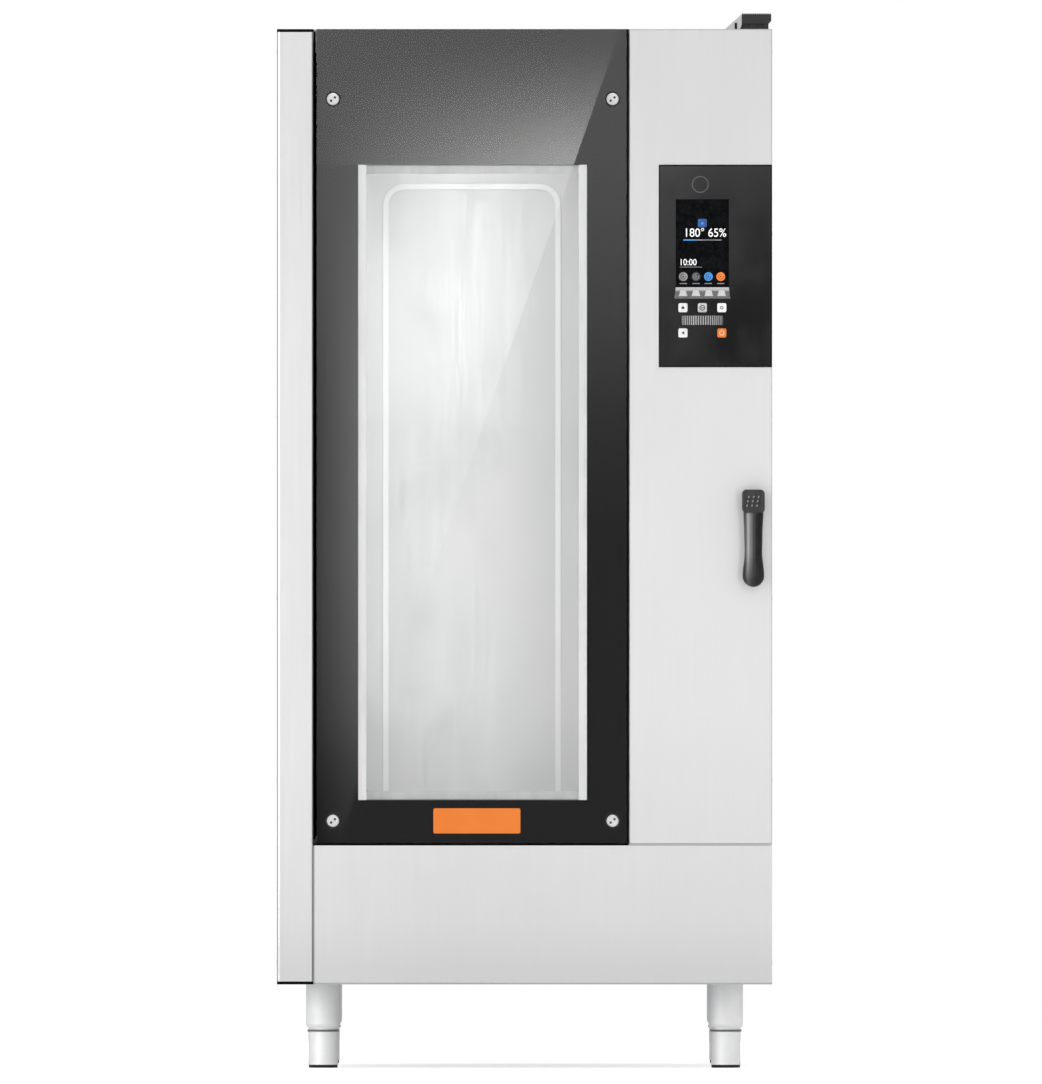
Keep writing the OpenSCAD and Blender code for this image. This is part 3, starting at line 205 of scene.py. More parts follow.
def turned(name, tone, darker, rough=0.5, metal=1.0):
    """Turned or drawn metal with fine rings around it."""
    m = Material(name, Metallic=metal)
    rings = m.noise((60, 60, 1400), detail=2.0)
    wear = m.noise((35, 35, 35), detail=5.0, rough=0.6)
    m.to("Base Color", m.ramp(wear, [(0.35, darker), (0.65, tone)], smooth=True))
    m.to("Roughness", m.math("ADD", m.spread(rings, rough - 0.03, rough + 0.03, 0.3, 0.7),
                             m.spread(wear, 0.0, 0.03, 0.5, 0.75)))
    m.shader.inputs["Specular Tint"].default_value = RIM
    m.bump(rings, 0.00002, 0.2)
    return m.made


def plastic(name, tone, darker, rough, grain=900.0, depth=0.00004, shine=0.5):
    """Moulded plastic with a fine eroded grain and a slight unevenness of tone."""
    m = Material(name)
    fine = m.noise((grain, grain, grain), detail=2.0)
    slow = m.noise((25, 25, 25), detail=4.0)
    m.to("Base Color", m.ramp(slow, [(0.3, darker), (0.7, tone)], smooth=True))
    m.to("Roughness", m.spread(slow, rough - 0.05, rough + 0.07, 0.3, 0.7))
    m.shader.inputs["Specular IOR Level"].default_value = shine
    m.bump(fine, depth, 0.5)
    return m.made


def pane(name, tint, dark_tint):
    """Clear toughened glass with the slightest haze."""
    m = Material(name, Transmission_Weight=1.0, IOR=1.45)
    haze = m.noise((3, 3, 2), detail=3.0)
    m.to("Base Color", m.ramp(haze, [(0.3, dark_tint), (0.7, tint)], smooth=True))
    m.to("Roughness", m.spread(haze, 0.0, 0.012, 0.5, 0.8))
    return m.made


def wool_mat():
    m = Material("stone_wool")
    fibres = m.noise((500, 160, 500), detail=6.0, rough=0.7, bend=1.5)
    tufts = m.noise((40, 40, 40), detail=4.0)
    m.to("Base Color", m.mix(0.5, m.ramp(fibres, [(0.3, "7d745c"), (0.7, "cfc4a2")]),
                             m.ramp(tufts, [(0.3, "968b6b"), (0.7, "c4b98f")])))
    m.shader.inputs["Roughness"].default_value = 0.95
    m.bump(fibres, 0.0012, 0.8)
    return m.made


def rubber_mat():
    m = Material("rubber")
    dust = m.noise((30, 30, 30), detail=6.0, rough=0.65)
    m.to("Base Color", m.ramp(dust, [(0.35, "191919"), (0.75, "2f2f2f")], smooth=True))
    m.to("Roughness", m.spread(dust, 0.62, 0.85, 0.3, 0.7))
    m.bump(m.noise((700, 700, 700)), 0.00008, 0.5)
    return m.made


def board_mat():
    """Green board with copper tracks under the lacquer."""
    m = Material("circuit_board")
    tracks = m.node("TexBrick")
    m.link(m.stretched((170, 170, 260), turn=(math.pi / 2, 0, 0)), tracks.inputs["Vector"])
    tracks.inputs["Color1"].default_value = light("1d6b3a")
    tracks.inputs["Color2"].default_value = light("186034")
    tracks.inputs["Mortar"].default_value = light("2f8a4c")
    tracks.inputs["Scale"].default_value = 1.0
    m.to("Base Color", m.mix(0.35, tracks.outputs["Color"],
                             m.ramp(m.noise((200, 200, 200)), [(0.4, "124d28"), (0.6, "2c7f47")])))
    m.shader.inputs["Roughness"].default_value = 0.32
    m.bump(tracks.outputs["Fac"], 0.0001, 0.4)
    return m.made


def lit(name, tone, darker, strength):
    """Something that glows a little, with a soft unevenness."""
    m = Material(name)
    slow = m.noise((60, 60, 12), detail=2.0)
    colour = m.ramp(slow, [(0.3, darker), (0.7, tone)], smooth=True)
    m.to("Base Color", colour)
    m.to("Emission Color", colour)
    m.shader.inputs["Emission Strength"].default_value = strength
    m.to("Roughness", m.spread(slow, 0.35, 0.45, 0.3, 0.7))
    return m.made


# ---------------------------------------------------------------- materials of the construction nodes

def foot_mat():
    """Ground steel tube on a dark rubber pad."""
    m = Material("levelling_foot")
    pad = m.spread(m.part(2), 1.0, 0.0, 0.0054, 0.0057)
    wear = m.noise((35, 35, 35), detail=5.0, rough=0.6)
    tube = m.ramp(wear, [(0.35, "e8e8e8"), (0.65, "ececec")], smooth=True)
    m.to("Base Color", m.mix(pad, tube, "2a2a2a"))
    m.to("Metallic", m.spread(pad, 0.6, 0.0))
    m.to("Roughness", m.math("ADD", m.spread(pad, 0.6, 0.7), m.spread(wear, 0.0, 0.03, 0.5, 0.75)))
    m.shader.inputs["Specular Tint"].default_value = RIM
    m.bump(m.noise((60, 60, 1400), detail=2.0), 0.00002, 0.2)
    return m.made


def handle_mat():
    """Dark soft plastic, with a painted highlight down the grip's left side, painted shade on its right side and
    towards its lower end.
    """
    m = Material("handle_plastic", Roughness=0.3)
    m.shader.inputs["Specular IOR Level"].default_value = 0.18
    # Painted highlight and shade across the grip: lighter on its left side, near black on its right
    across = m.spread(m.part(0), 0.0, 1.0, 0.401, 0.435)
    grip = m.ramp(across, [(0.0, "242424"), (0.08, "525252"), (0.22, "9a9a9a"), (0.36, "747474"), (0.52, "3c3c3c"),
                           (0.66, "121212"), (0.9, "060606")], smooth=True)
    high = m.part(2)
    wear = m.noise((90, 90, 90), detail=4.0)
    # Painted shade towards the grip's lower end
    grip = m.mix(m.spread(high, 0.8, 0.0, 0.892, 0.945), grip, "1c1c1c")
    tone = m.mix(m.spread(high, 0.0, 1.0, 1.0142, 1.0168), grip, m.ramp(wear, [(0.3, "2e2e2e"), (0.7, "383838")]))
    m.to("Base Color", m.mix(0.06, tone, m.ramp(wear, [(0.3, "1c1c1c"), (0.7, "6c6c6c")])))
    return m.made


def screen_mat():
    """Display glass, black with a barely visible pattern of darker and lighter panes."""
    m = Material("screen", IOR=1.45)
    panes = m.cells((70, 70, 70), "SMOOTH_F1")
    dust = m.noise((160, 160, 160), detail=4.0, rough=0.7)
    tone = m.mix(0.5, m.ramp(panes, [(0.2, "050506"), (0.8, "131417")]),
                 m.ramp(dust, [(0.45, "040404"), (0.75, "1c1d20")]))
    m.to("Base Color", tone)
    m.to("Emission Color", tone)
    m.shader.inputs["Emission Strength"].default_value = 0.4
    m.shader.inputs["Specular IOR Level"].default_value = 0.02
    m.to("Roughness", m.spread(dust, 0.3, 0.4))
    return m.made


def bezel_mat(low, high):
    """Moulded grey bar, with a painted highlight along its upper edge and painted shade along its foot; dark grey
    between the keys.
    """
    m = Material("grey_plastic", Roughness=0.4)
    height = m.spread(m.part(2), 0.0, 1.0, low, high)
    grain = m.noise((160, 160, 160), detail=3.0)
    # Painted shade at the foot, painted highlight along the upper edge
    shade = m.ramp(height, [(0.0, "3c3c3c"), (0.1, "5c5c5c"), (0.62, "585858"), (0.78, "b4b4b4"), (1.0, "bebebe")])
    m.to("Base Color", m.mix(0.08, shade, m.ramp(grain, [(0.3, "404040"), (0.7, "c8c8c8")])))
    m.bump(m.noise((900, 900, 900)), 0.00002, 0.5)
    return m.made


def wheel_mat(x, y):
    """Grey rubber ribs about the wheel's axle, with painted shade darkening them down in the grooves."""
    m = Material("wheel_plastic", Roughness=0.42)
    across = m.math("POWER", m.math("SUBTRACT", m.part(0), x), 2.0)
    deep = m.math("POWER", m.math("SUBTRACT", m.part(1), y), 2.0)
    reach = m.math("SQRT", m.math("ADD", across, deep), 0.0)
    wear = m.noise((120, 120, 120), detail=4.0)
    # Painted shade: darker nearer the axle, down in the grooves
    shade = m.ramp(m.spread(reach, 0.0, 1.0, 0.0414, 0.043), [(0.0, "1b1b1b"), (0.35, "303030"), (0.9, "a6a6a6"),
                                                            (1.0, "b4b4b4")])
    m.to("Base Color", m.mix(0.1, shade, m.ramp(wear, [(0.3, "2c2c2c"), (0.7, "8c8c8c")])))
    m.bump(m.noise((900, 900, 900)), 0.00002, 0.5)
    return m.made


def black_glass_mat():
    m = Material("black_glass", IOR=1.5)
    haze = m.noise((12, 12, 9), detail=4.0)
    m.to("Base Color", m.ramp(haze, [(0.3, "060606"), (0.7, "0b0b0b")], smooth=True))
    m.to("Roughness", m.spread(haze, 0.02, 0.05, 0.4, 0.8))
    return m.made


sheet_mat = steel("sheet_steel", "d3d3d3", "d0d0d0", rough=0.42)
sheet_x_mat = steel("sheet_steel_across", "d3d3d3", "cfcfcf", grain="x", rough=0.42)
# Painted shade on the fascia's right side and on the column's left side
fascia_mat = steel("fascia_steel", "d3d3d3", "d0d0d0", rough=0.42, edge=(0.4522, 0.4524))
column_mat = steel("column_steel", "d3d3d3", "d0d0d0", rough=0.42, edge=(-0.4490, -0.4524))
side_mat = steel("side_steel", "bcbcbc", "b8b8b8", rough=0.6)
liner_mat = steel("liner_steel", "dedede", "d4d4d4", rough=0.42)
bright_mat = turned("bright_steel", "dcdcdc", "d8d8d8")
sleeve_mat = turned("sleeve_steel", "ececec", "e8e8e8", rough=0.62, metal=0.6)
stud_mat = turned("stud_steel", "d6d6d6", "c6c6c6", rough=0.36)
spindle_mat = turned("spindle_steel", "6e7174", "64676a", rough=0.45)
zinc_mat = zinc("zinc_steel")
black_mat = plastic("black_plastic", "242424", "1a1a1a", rough=0.42)
deep_black_mat = plastic("deep_black_plastic", "0a0a0a", "060606", rough=0.6, depth=0.00001, shine=0.05)
dark_mat = plastic("dark_plastic", "232323", "1b1b1b", rough=0.27, depth=0.000008, shine=0.42)
white_mat = plastic("white_plastic", "efefef", "e4e4e4", rough=0.3, depth=0.00001)
light_grey_mat = plastic("light_grey_plastic", "cfcfcf", "c2c2c2", rough=0.3, depth=0.00001)
orange_mat = plastic("orange_plastic", "e27b2d", "df772a", rough=0.42, depth=0.00001, shine=0.3)
brass_mat = turned("brass", "d9bd7a", "b9965a", rough=0.3)
motor_mat = plastic("motor", "7b8087", "696e75", rough=0.5, grain=400.0, depth=0.0001)
heater_mat = turned("heater_tube", "8c857c", "5e574f", rough=0.45)
# Darker steel for the fascia's edge strips: painted shade
hem_shade_mat = steel("hem_steel_painted_shade", "bcbcbc", "b6b6b6")
# Darker steel for the strips in the seams: painted shade
seam_shade_mat = steel("sill_steel_painted_shade", "b4b4b4", "aeaeae", grain="x")
# Painted highlight for the handle's dimples
dimple_highlight_mat = plastic("dimple_painted_highlight", "868686", "7a7a7a", rough=0.4, depth=0.00001)
# Painted shadow under the leg sleeves
sleeve_shadow_mat = plastic("sleeve_gap_painted_shadow", "6a6a6a", "5c5c5c", rough=0.5)
print_mat = plastic("black_print", "0b0b0b", "060606", rough=0.35, depth=0.00001)
glass_mat = pane("smoked_glass", "fbfbfb", "f5f6f6")
inner_pane_mat = pane("inner_glass", "fdfdfd", "f8f9f9")
led_mat = lit("light_bar", "f2f2f2", "e6e6e6", 0.32)
rubber = rubber_mat()

looks = {
    "base_frame": sheet_x_mat, "leg_sleeves": sleeve_mat, "bottom_pan": zinc_mat,
    "left_side_panel": side_mat, "right_side_panel": sheet_mat, "rear_panel": sheet_mat,
    "top_panel": side_mat, "front_frame": side_mat, "plinth_panel": sheet_mat,
    "left_column": column_mat, "column_caps": deep_black_mat, "cavity_liner": liner_mat,
    "cavity_insulation": wool_mat(), "door_gasket": rubber, "drain_pipe": bright_mat,
    "heating_elements": heater_mat, "fan_motors": motor_mat, "exhaust_duct": sheet_mat,
    "vent_shield": sheet_x_mat, "vent_cap": black_mat, "hinge_brackets": zinc_mat,
    "latch_striker": zinc_mat, "contactor_panel": zinc("contactor_plate"),
    "water_inlets": brass_mat, "cable_gland": black_mat, "panel_screws": bright_mat,
    "door_frame": zinc_mat, "outer_glass": glass_mat, "glass_border": print_mat,
    "glass_studs": stud_mat, "badge_plate": orange_mat, "side_fascia": fascia_mat,
    "inner_skin": liner_mat, "inner_glass": inner_pane_mat, "led_bars": led_mat,
    "control_glass": black_glass_mat(), "display_screen": screen_mat(),
    "softkey_bezel": bezel_mat(1.407, 1.428), "control_board": board_mat(), "handle_base": dark_mat,
    "handle_grip": dark_mat, "handle_spindle": spindle_mat, "fan_upper": bright_mat,
    "fan_lower": bright_mat, "air_baffle": liner_mat, "vent_damper": bright_mat,
    "scroll_wheel": wheel_mat(0.3250, -0.4670), "key_home": white_mat, "key_mode": light_grey_mat,
    "key_light": white_mat, "key_back": white_mat, "key_start": orange_mat,
}
for side in ("front_left", "front_right", "rear_left", "rear_right"):
    looks["foot_" + side] = foot_mat()
for i in range(1, 5):
    looks["softkey_%d" % i] = light_grey_mat

for name, obj in nodes.items():
    obj.data.materials.clear()
    obj.data.materials.append(looks[name])


# ---------------------------------------------------------------- piece kit

def piece(name, mesh_builder, body, material, smooth=False):
    mesh = bpy.data.meshes.new(name)
    bmesh.ops.recalc_face_normals(mesh_builder, faces=mesh_builder.faces)
    mesh_builder.to_mesh(mesh)
    mesh_builder.free()
    obj = bpy.data.objects.new(name, mesh)
    bpy.context.scene.collection.objects.link(obj)
    mesh.materials.append(material)
    for polygon in mesh.polygons:
        polygon.use_smooth = smooth
    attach(obj, body)
    return obj


def circle(x, z, r, count, start=0.0, end=360.0):
    """Points on a circle or an arc, in the XZ plane, in millimetres."""
    closed = end - start >= 360.0
    steps = count if closed else count - 1
    angles = [math.radians(start + (end - start) * i / steps) for i in range(count)]
    return [(x + r * math.cos(a), z + r * math.sin(a)) for a in angles]


def rounded(x, z, w, h, r, count=6):
    """A rounded rectangle's outline about its centre, in millimetres."""
    corners = ((1, 1, 0), (-1, 1, 90), (-1, -1, 180), (1, -1, 270))
    return [p for sx, sz, a in corners
            for p in circle(x + sx * (w / 2 - r), z + sz * (h / 2 - r), r, count, a, a + 90)]


def slab(outline, y):
    """A plate with that outline, from y[0] in front to y[1]."""
    bm = bmesh.new()
    back, front = [[bm.verts.new((px * MM, depth * MM, pz * MM)) for px, pz in outline] for depth in (y[1], y[0])]
    for i in range(len(outline)):
        j = (i + 1) % len(outline)
        bm.faces.new((back[i], back[j], front[j], front[i]))
    bm.faces.new(back)
    bm.faces.new(front)
    return bm


def strip(x, z, y):
    """A plain rectangular plate between those places."""
    return slab([(x[0], z[0]), (x[1], z[0]), (x[1], z[1]), (x[0], z[1])], y)


def band(inner, outer, y, closed=True):
    """A flat ring or arc between two outlines of as many points."""
    bm = bmesh.new()
    rows = [[bm.verts.new((p[0] * MM, depth * MM, p[1] * MM)) for p in line]
            for line, depth in ((inner, y[1]), (inner, y[0]), (outer, y[0]), (outer, y[1]))]
    count = len(inner)
    for k in range(4):
        a, b = rows[k], rows[(k + 1) % 4]
        for i in range(count if closed else count - 1):
            j = (i + 1) % count
            bm.faces.new((a[i], a[j], b[j], b[i]))
    if not closed:
        for i in (0, count - 1):
            bm.faces.new([row[i] for row in rows])
    return bm


def ring(x, z, inner, outer, y, count, start=0.0, end=360.0):
    """A flat ring or arc between two radii."""
    return band(circle(x, z, inner, count, start, end), circle(x, z, outer, count, start, end), y,
                closed=end - start >= 360.0)


def proud(front, by):
    """A plate's depth, from that much before a front face back to it."""
    return (front - by, front)


# Front faces of the door and the lower panel, and of the control glass, and the steel's right edge
FRONT, CONTROL_FRONT = -487.0, -490.0
FASCIA_RIGHT = 452.2


# ---------------------------------------------------------------- handle

HANDLE_X, HANDLE_Z = 418.0, 1037.0
HEAD_W, HEAD_H, HEAD_FRONT, HEAD_BACK = 41.5, 43.0, -549.0, -523.0
HEAD_RIM, HEAD_REACH = 3.0, 21
GRIP_LEN, GRIP_END, GRIP_Y = 135.0, 20.0, HEAD_FRONT + 13.0
# Pitch, lean and depth of the nine dimples, and half their width and height
DIMPLE_X, DIMPLE_Z, DIMPLE_LEAN, DIMPLE_DEPTH = 9.0, 8.0, 1.5, 1.9
DIMPLE_HALF_X, DIMPLE_HALF_Z = 3.1, 2.7


def smooth_step(t):
    t = min(max(t, 0.0), 1.0)
    return t * t * (3 - 2 * t)


def head_shell(bm):
    """The square head: a rounded rim, a sunk field and nine slanted finger dimples."""
    count, corner = 85, 8.0
    hx, hz = HEAD_W / 2, HEAD_H / 2
    grid = []
    for j in range(count):
        row = []
        for i in range(count):
            u, v = 2 * i / (count - 1) - 1, 2 * j / (count - 1) - 1
            x, z = u * hx, v * hz
            edge = min(hx - abs(x), hz - abs(z))
            dx, dz = abs(x) - (hx - corner), abs(z) - (hz - corner)
            if dx > 0 and dz > 0:
                shrink = max(dx, dz) / math.hypot(dx, dz)
                x = math.copysign(hx - corner + dx * shrink, x)
                z = math.copysign(hz - corner + dz * shrink, z)
            y = HEAD_FRONT
            if edge < HEAD_RIM:
                y += HEAD_RIM * (1 - math.sqrt(max(0.0, 1 - (1 - edge / HEAD_RIM) ** 2)))
            y += 0.7 * smooth_step((edge - 4.0) / 1.2)
            for m in (-1, 0, 1):
                for n in (-1, 0, 1):
                    across = x - m * DIMPLE_X - n * DIMPLE_LEAN
                    along = z - n * DIMPLE_Z
                    reach = max(abs(across - 0.25 * along) / DIMPLE_HALF_X, abs(along) / DIMPLE_HALF_Z)
                    slope = 0.55 + 0.45 * across / DIMPLE_HALF_X
                    y += DIMPLE_DEPTH * smooth_step((1.0 - reach) / 0.45) * slope
            row.append(bm.verts.new(((HANDLE_X + x) * MM, y * MM, (HANDLE_Z + z) * MM)))
        grid.append(row)
    for j in range(count - 1):
        for i in range(count - 1):
            bm.faces.new((grid[j][i], grid[j][i + 1], grid[j + 1][i + 1], grid[j + 1][i]))
    rim = grid[0] + [row[-1] for row in grid[1:]] + grid[-1][-2::-1] + [row[0] for row in grid[-2:0:-1]]
    front = rim
    for depth, inset in ((HEAD_BACK - 2.0, 0.0), (HEAD_BACK - 0.6, 0.6), (HEAD_BACK, 2.0)):
        size = 1 - inset / HEAD_REACH
        back = []
        for vert in rim:
            x, z = vert.co.x / MM - HANDLE_X, vert.co.z / MM - HANDLE_Z
            back.append(bm.verts.new(((HANDLE_X + x * size) * MM, depth * MM, (HANDLE_Z + z * size) * MM)))
        for i in range(len(rim)):
            k = (i + 1) % len(rim)
            bm.faces.new((front[i], front[k], back[k], back[i]))
        front = back
    bm.faces.new(front)


def along_curve(points, t):
    """A smooth value at t through (place, value) points."""
    for (a, low), (b, high) in zip(points, points[1:]):
        if t <= b:
            return low + (high - low) * smooth_step((t - a) / (b - a))
    return points[-1][1]


def grip_shell(bm):
    """The grip: waisted, flattened, and swelling into a round end."""
    widths = [(-8, 37.0), (0, 37.0), (34, 34.0), (72, 32.6), (115, 40.0)]
    thicknesses = [(-8, 11.5), (20, 12.0), (78, 11.2), (115, 12.0)]
    top = HANDLE_Z - HEAD_H / 2
    rings, sides = [], 56
    places = [-8 + i * 2.5 for i in range(50)]
    places += [GRIP_LEN - GRIP_END * (1 - math.sin(math.radians(a))) for a in (8, 20, 32, 44, 55, 65, 74, 81, 87)]
    for t in sorted(p for p in places if p <= GRIP_LEN):
        half = along_curve(widths, t) / 2
        thick = along_curve(thicknesses, t)
        if t > GRIP_LEN - GRIP_END:
            close = math.sqrt(max(0.0, 1 - ((t - GRIP_LEN + GRIP_END) / GRIP_END) ** 2))
            half, thick = half * close, thick * close ** 0.7
        loop = []
        for k in range(sides):
            a = 2 * math.pi * k / sides
            c, s = math.cos(a), math.sin(a)
            x = half * math.copysign(abs(c) ** 0.85, c)
            y = thick * math.copysign(abs(s) ** 0.9, s)
            loop.append(bm.verts.new(((HANDLE_X + x) * MM, (GRIP_Y + y) * MM, (top - t) * MM)))
        rings.append(loop)
    for a, b in zip(rings, rings[1:]):
        for i in range(sides):
            k = (i + 1) % sides
            bm.faces.new((a[i], a[k], b[k], b[i]))
    bm.faces.new(rings[0])
    bm.faces.new(rings[-1])


handle_mesh = bmesh.new()
head_shell(handle_mesh)
grip_shell(handle_mesh)
handle = piece("handle_lever", handle_mesh, "handle", handle_mat(), smooth=True)
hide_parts("handle_grip")

# Painted highlight: a lighter, leaning spot on the left side of each dimple
for i in range(9):
    m, n = i % 3 - 1, i // 3 - 1
    mid_x = HANDLE_X + m * DIMPLE_X + n * DIMPLE_LEAN - 1.0
    mid_z = HANDLE_Z + n * DIMPLE_Z
    outline = [(mid_x + x * 1.5 + z * 0.5, mid_z + z * 2.2) for x, z in circle(0, 0, 1.0, 24)]
    piece("handle_dimple_highlight_%d" % i, slab(outline, (HEAD_FRONT + 0.5, HEAD_FRONT + 0.9)),
          "handle", dimple_highlight_mat)


# ---------------------------------------------------------------- what the window shows

# Painted highlight: the back wall's bead is made lighter than the liner, for the light its rounded step catches
bead_highlight_mat = steel("bead_painted_highlight", "f2f2f2", "eeeeee", rough=0.42)
# Painted light: the inner pane's clips glow a little, though they are no lamp
glowing_clip_mat = lit("clip_plastic_painted_glow", "e2e2e2", "d8d8d8", 0.25)

BEAD_X, BEAD_Z, BEAD_W, BEAD_H, BEAD = -97.0, 1039.5, 308.0, 1149.0, 10.0
piece("back_wall_bead", band(rounded(BEAD_X, BEAD_Z, BEAD_W, BEAD_H, 30.0, 14),
                             rounded(BEAD_X, BEAD_Z, BEAD_W + 2 * BEAD, BEAD_H + 2 * BEAD, 30.0 + BEAD, 14),
                             (336.9, 340.5)), "cabinet", bead_highlight_mat)
for name, z in (("low", (492.0, 507.0)), ("high", (1636.0, 1651.0))):
    piece("inner_pane_clip_" + name, strip((-304.0, 113.0), z, (-425.2, -424.1)), "door", glowing_clip_mat)

# ---------------------------------------------------------------- door glass trim

STUD_FRONT = -491.0
studs = [("%s_%s" % (side, level), x, z) for side, x in (("left", -350.0), ("right", 161.0))
         for level, z in (("low", 453.0), ("high", 1772.0))]
for place, x, z in studs:
    piece("stud_washer_" + place, ring(x, z, 11.1, 14.0, (FRONT - 0.5, FRONT + 0.1), 48), "door", rubber)
# Two small key holes in each stud, drawn as flat black discs: painted shade for the holes
for place, x, z in studs:
    for side, half in ((1, "a"), (-1, "b")):
        piece("stud_key_%s_%s" % (place, half),
              slab(circle(x + side * 3.5, z + side * 3.0, 2.3, 24), (STUD_FRONT - 0.08, STUD_FRONT + 0.1)),
              "door", black_mat)

LINE_Y = proud(FRONT, 0.12)
piece("glass_edge_line", strip((186.6, 190.9), (412.5, 1899.5), LINE_Y), "door", deep_black_mat)
# Painted shadow: a black strip deep in the gap beside the hinges, over the steel lit at the gap's bottom
piece("hinge_gap_shadow", strip((-389.0, -376.5), (420.0, 1896.0), (-412.2, -411.05)),
      "cabinet", deep_black_mat)

# The gap between the door and the lower panel, the seam beside the plinth and the plinth's foot: a black strip and
# darker steel strips set there are painted shade
SILL_Z, SILL_BACK = (408.4, 411.6), -470.0
piece("sill_gap_shadow_left", strip((-385.5, 190.0), SILL_Z, (-478.0, SILL_BACK)),
      "cabinet", deep_black_mat)
piece("sill_strip_right", strip((190.6, FASCIA_RIGHT), SILL_Z, (-484.0, SILL_BACK)), "cabinet", seam_shade_mat)
piece("plinth_side_strip", strip((-385.8, -383.7), (156.0, 408.0), (-484.0, -476.0)), "cabinet", seam_shade_mat)
piece("plinth_hem", strip((-383.4, FASCIA_RIGHT), (154.3, 157.2), proud(FRONT, 0.15)), "cabinet", seam_shade_mat)
# Painted shade: darker strips along the fascia's top and right edges
piece("fascia_hem_top", strip((191.4, FASCIA_RIGHT), (1898.0, 1899.7), LINE_Y), "door", hem_shade_mat)
piece("fascia_hem_side", strip((450.6, FASCIA_RIGHT), (412.3, 1898.0), LINE_Y), "door", hem_shade_mat)

CONTROL_X, CONTROL_Z, CONTROL_W, CONTROL_H = 349.0, 1467.0, 202.4, 365.4
piece("control_rim", band(rounded(CONTROL_X, CONTROL_Z, CONTROL_W, CONTROL_H, 1.5),
                          rounded(CONTROL_X, CONTROL_Z, CONTROL_W + 4.2, CONTROL_H + 4.2, 1.5),
                          proud(CONTROL_FRONT, 0.12)), "door", deep_black_mat)


def collar(x, y, r, z):
    """A ring about an upright axle, in millimetres."""
    bm, count = bmesh.new(), 56
    loops = [[bm.verts.new(((x + px) * MM, (y + py) * MM, height * MM)) for px, py in circle(0, 0, reach, count)]
             for reach, height in ((r[0], z[0]), (r[1], z[0]), (r[1], z[1]), (r[0], z[1]))]
    for k in range(4):
        a, b = loops[k], loops[(k + 1) % 4]
        for i in range(count):
            j = (i + 1) % count
            bm.faces.new((a[i], a[j], b[j], b[i]))
    return bm


# Painted shadow: a dark grey ring under each sleeve, where the gap below it lies in shade
LEG_X = 368.5
for end, y in (("front", -321.0), ("rear", 419.0)):
    for side, x in (("left", -LEG_X), ("right", LEG_X)):
        piece("foot_shadow_ring_%s_%s" % (end, side), collar(x, y, (27.8, 28.9), (66.2, 70.0)),
              "cabinet", sleeve_shadow_mat)

# Painted shadow: black plates in the vent's front and rear openings, and a black strip in the shield's slot
for name, y in (("front", -214.6), ("rear", -98.4)):
    piece("vent_opening_shadow_" + name, slab([(394.8, 1903.2), (447.3, 1903.2), (447.3, 1912.8), (398.4, 1912.8),
                                     (398.2, 1910.4)], (y, y + 1.2)), "cabinet", black_mat)
piece("shield_slot_shadow", strip((385.6, 390.0), (1903.2, 1914.3), (-210.2, -209.1)),
      "cabinet", black_mat)

# ---------------------------------------------------------------- screen, keys and their marks

SCREEN_Y = (-489.52, -489.35)
SCREEN_TOP_Y = (-489.56, -489.35)
TILE_MARK_Y = (-489.56, -489.4)
DIGITS_Y = -489.5
GLASS_Y = (CONTROL_FRONT - 0.06, CONTROL_FRONT + 0.03)
KEY_Y = (-492.08, -491.95)

white_glow = lit("screen_white", "f2f2f2", "dcdcdc", 0.5)
grey_glow = lit("screen_grey", "8c8c8c", "757575", 0.25)
dim_glow = lit("screen_dim", "3e4042", "303234", 0.2)
blue_glow = lit("screen_blue", "4391d2", "357fbf", 0.22)
deep_blue_glow = lit("screen_deep_blue", "1d5591", "164578", 0.2)
orange_glow = lit("screen_orange", "e87c30", "d66b22", 0.22)
deep_orange_glow = lit("screen_deep_orange", "8a3d10", "70300b", 0.3)
mark_mat = plastic("dark_print", "1f1f1f", "161616", rough=0.5, depth=0.000005)
pale_mark_mat = plastic("pale_print", "ffd9b8", "f8c79c", rough=0.5, depth=0.000005)
ring_mat = plastic("soft_print", "5a5a5a", "4c4c4c", rough=0.3, depth=0.000005)


def digits(name, text, x, z, size, stretch):
    """Digits on the screen, with x and z at their left lower corner, in millimetres."""
    curve = bpy.data.curves.new(name, "FONT")
    curve.body = text
    curve.size = size * MM
    curve.extrude = 0.05 * MM
    obj = bpy.data.objects.new(name, curve)
    bpy.context.scene.collection.objects.link(obj)
    obj.location = (x * MM, DIGITS_Y * MM, z * MM)
    obj.rotation_euler = (math.pi / 2, 0, 0)
    obj.scale = (stretch, 1, 1)
    curve.materials.append(white_glow)
    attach(obj, "door")


def on_screen(name, shape, look):
    piece(name, shape, "door", look)


digits("clock_digits", "10:00", 282.6, 1468.4, 16.5, 0.88)
digits("set_values", "180° 65%", 291.0, 1520.5, 22.0, 0.92)
PANEL_X = 325.0
on_screen("progress_line", slab(rounded(PANEL_X, 1514.5, 70.0, 1.6, 0.7), SCREEN_Y), grey_glow)
on_screen("progress_mark", slab(rounded(302.0, 1514.5, 24.0, 2.2, 1.0), SCREEN_TOP_Y), blue_glow)
on_screen("mode_tile", slab(rounded(PANEL_X, 1545.5, 16.5, 15.0, 2.5), SCREEN_Y), deep_blue_glow)
on_screen("mode_tile_drop", slab(circle(PANEL_X, 1544.8, 2.4, 24), SCREEN_TOP_Y), blue_glow)

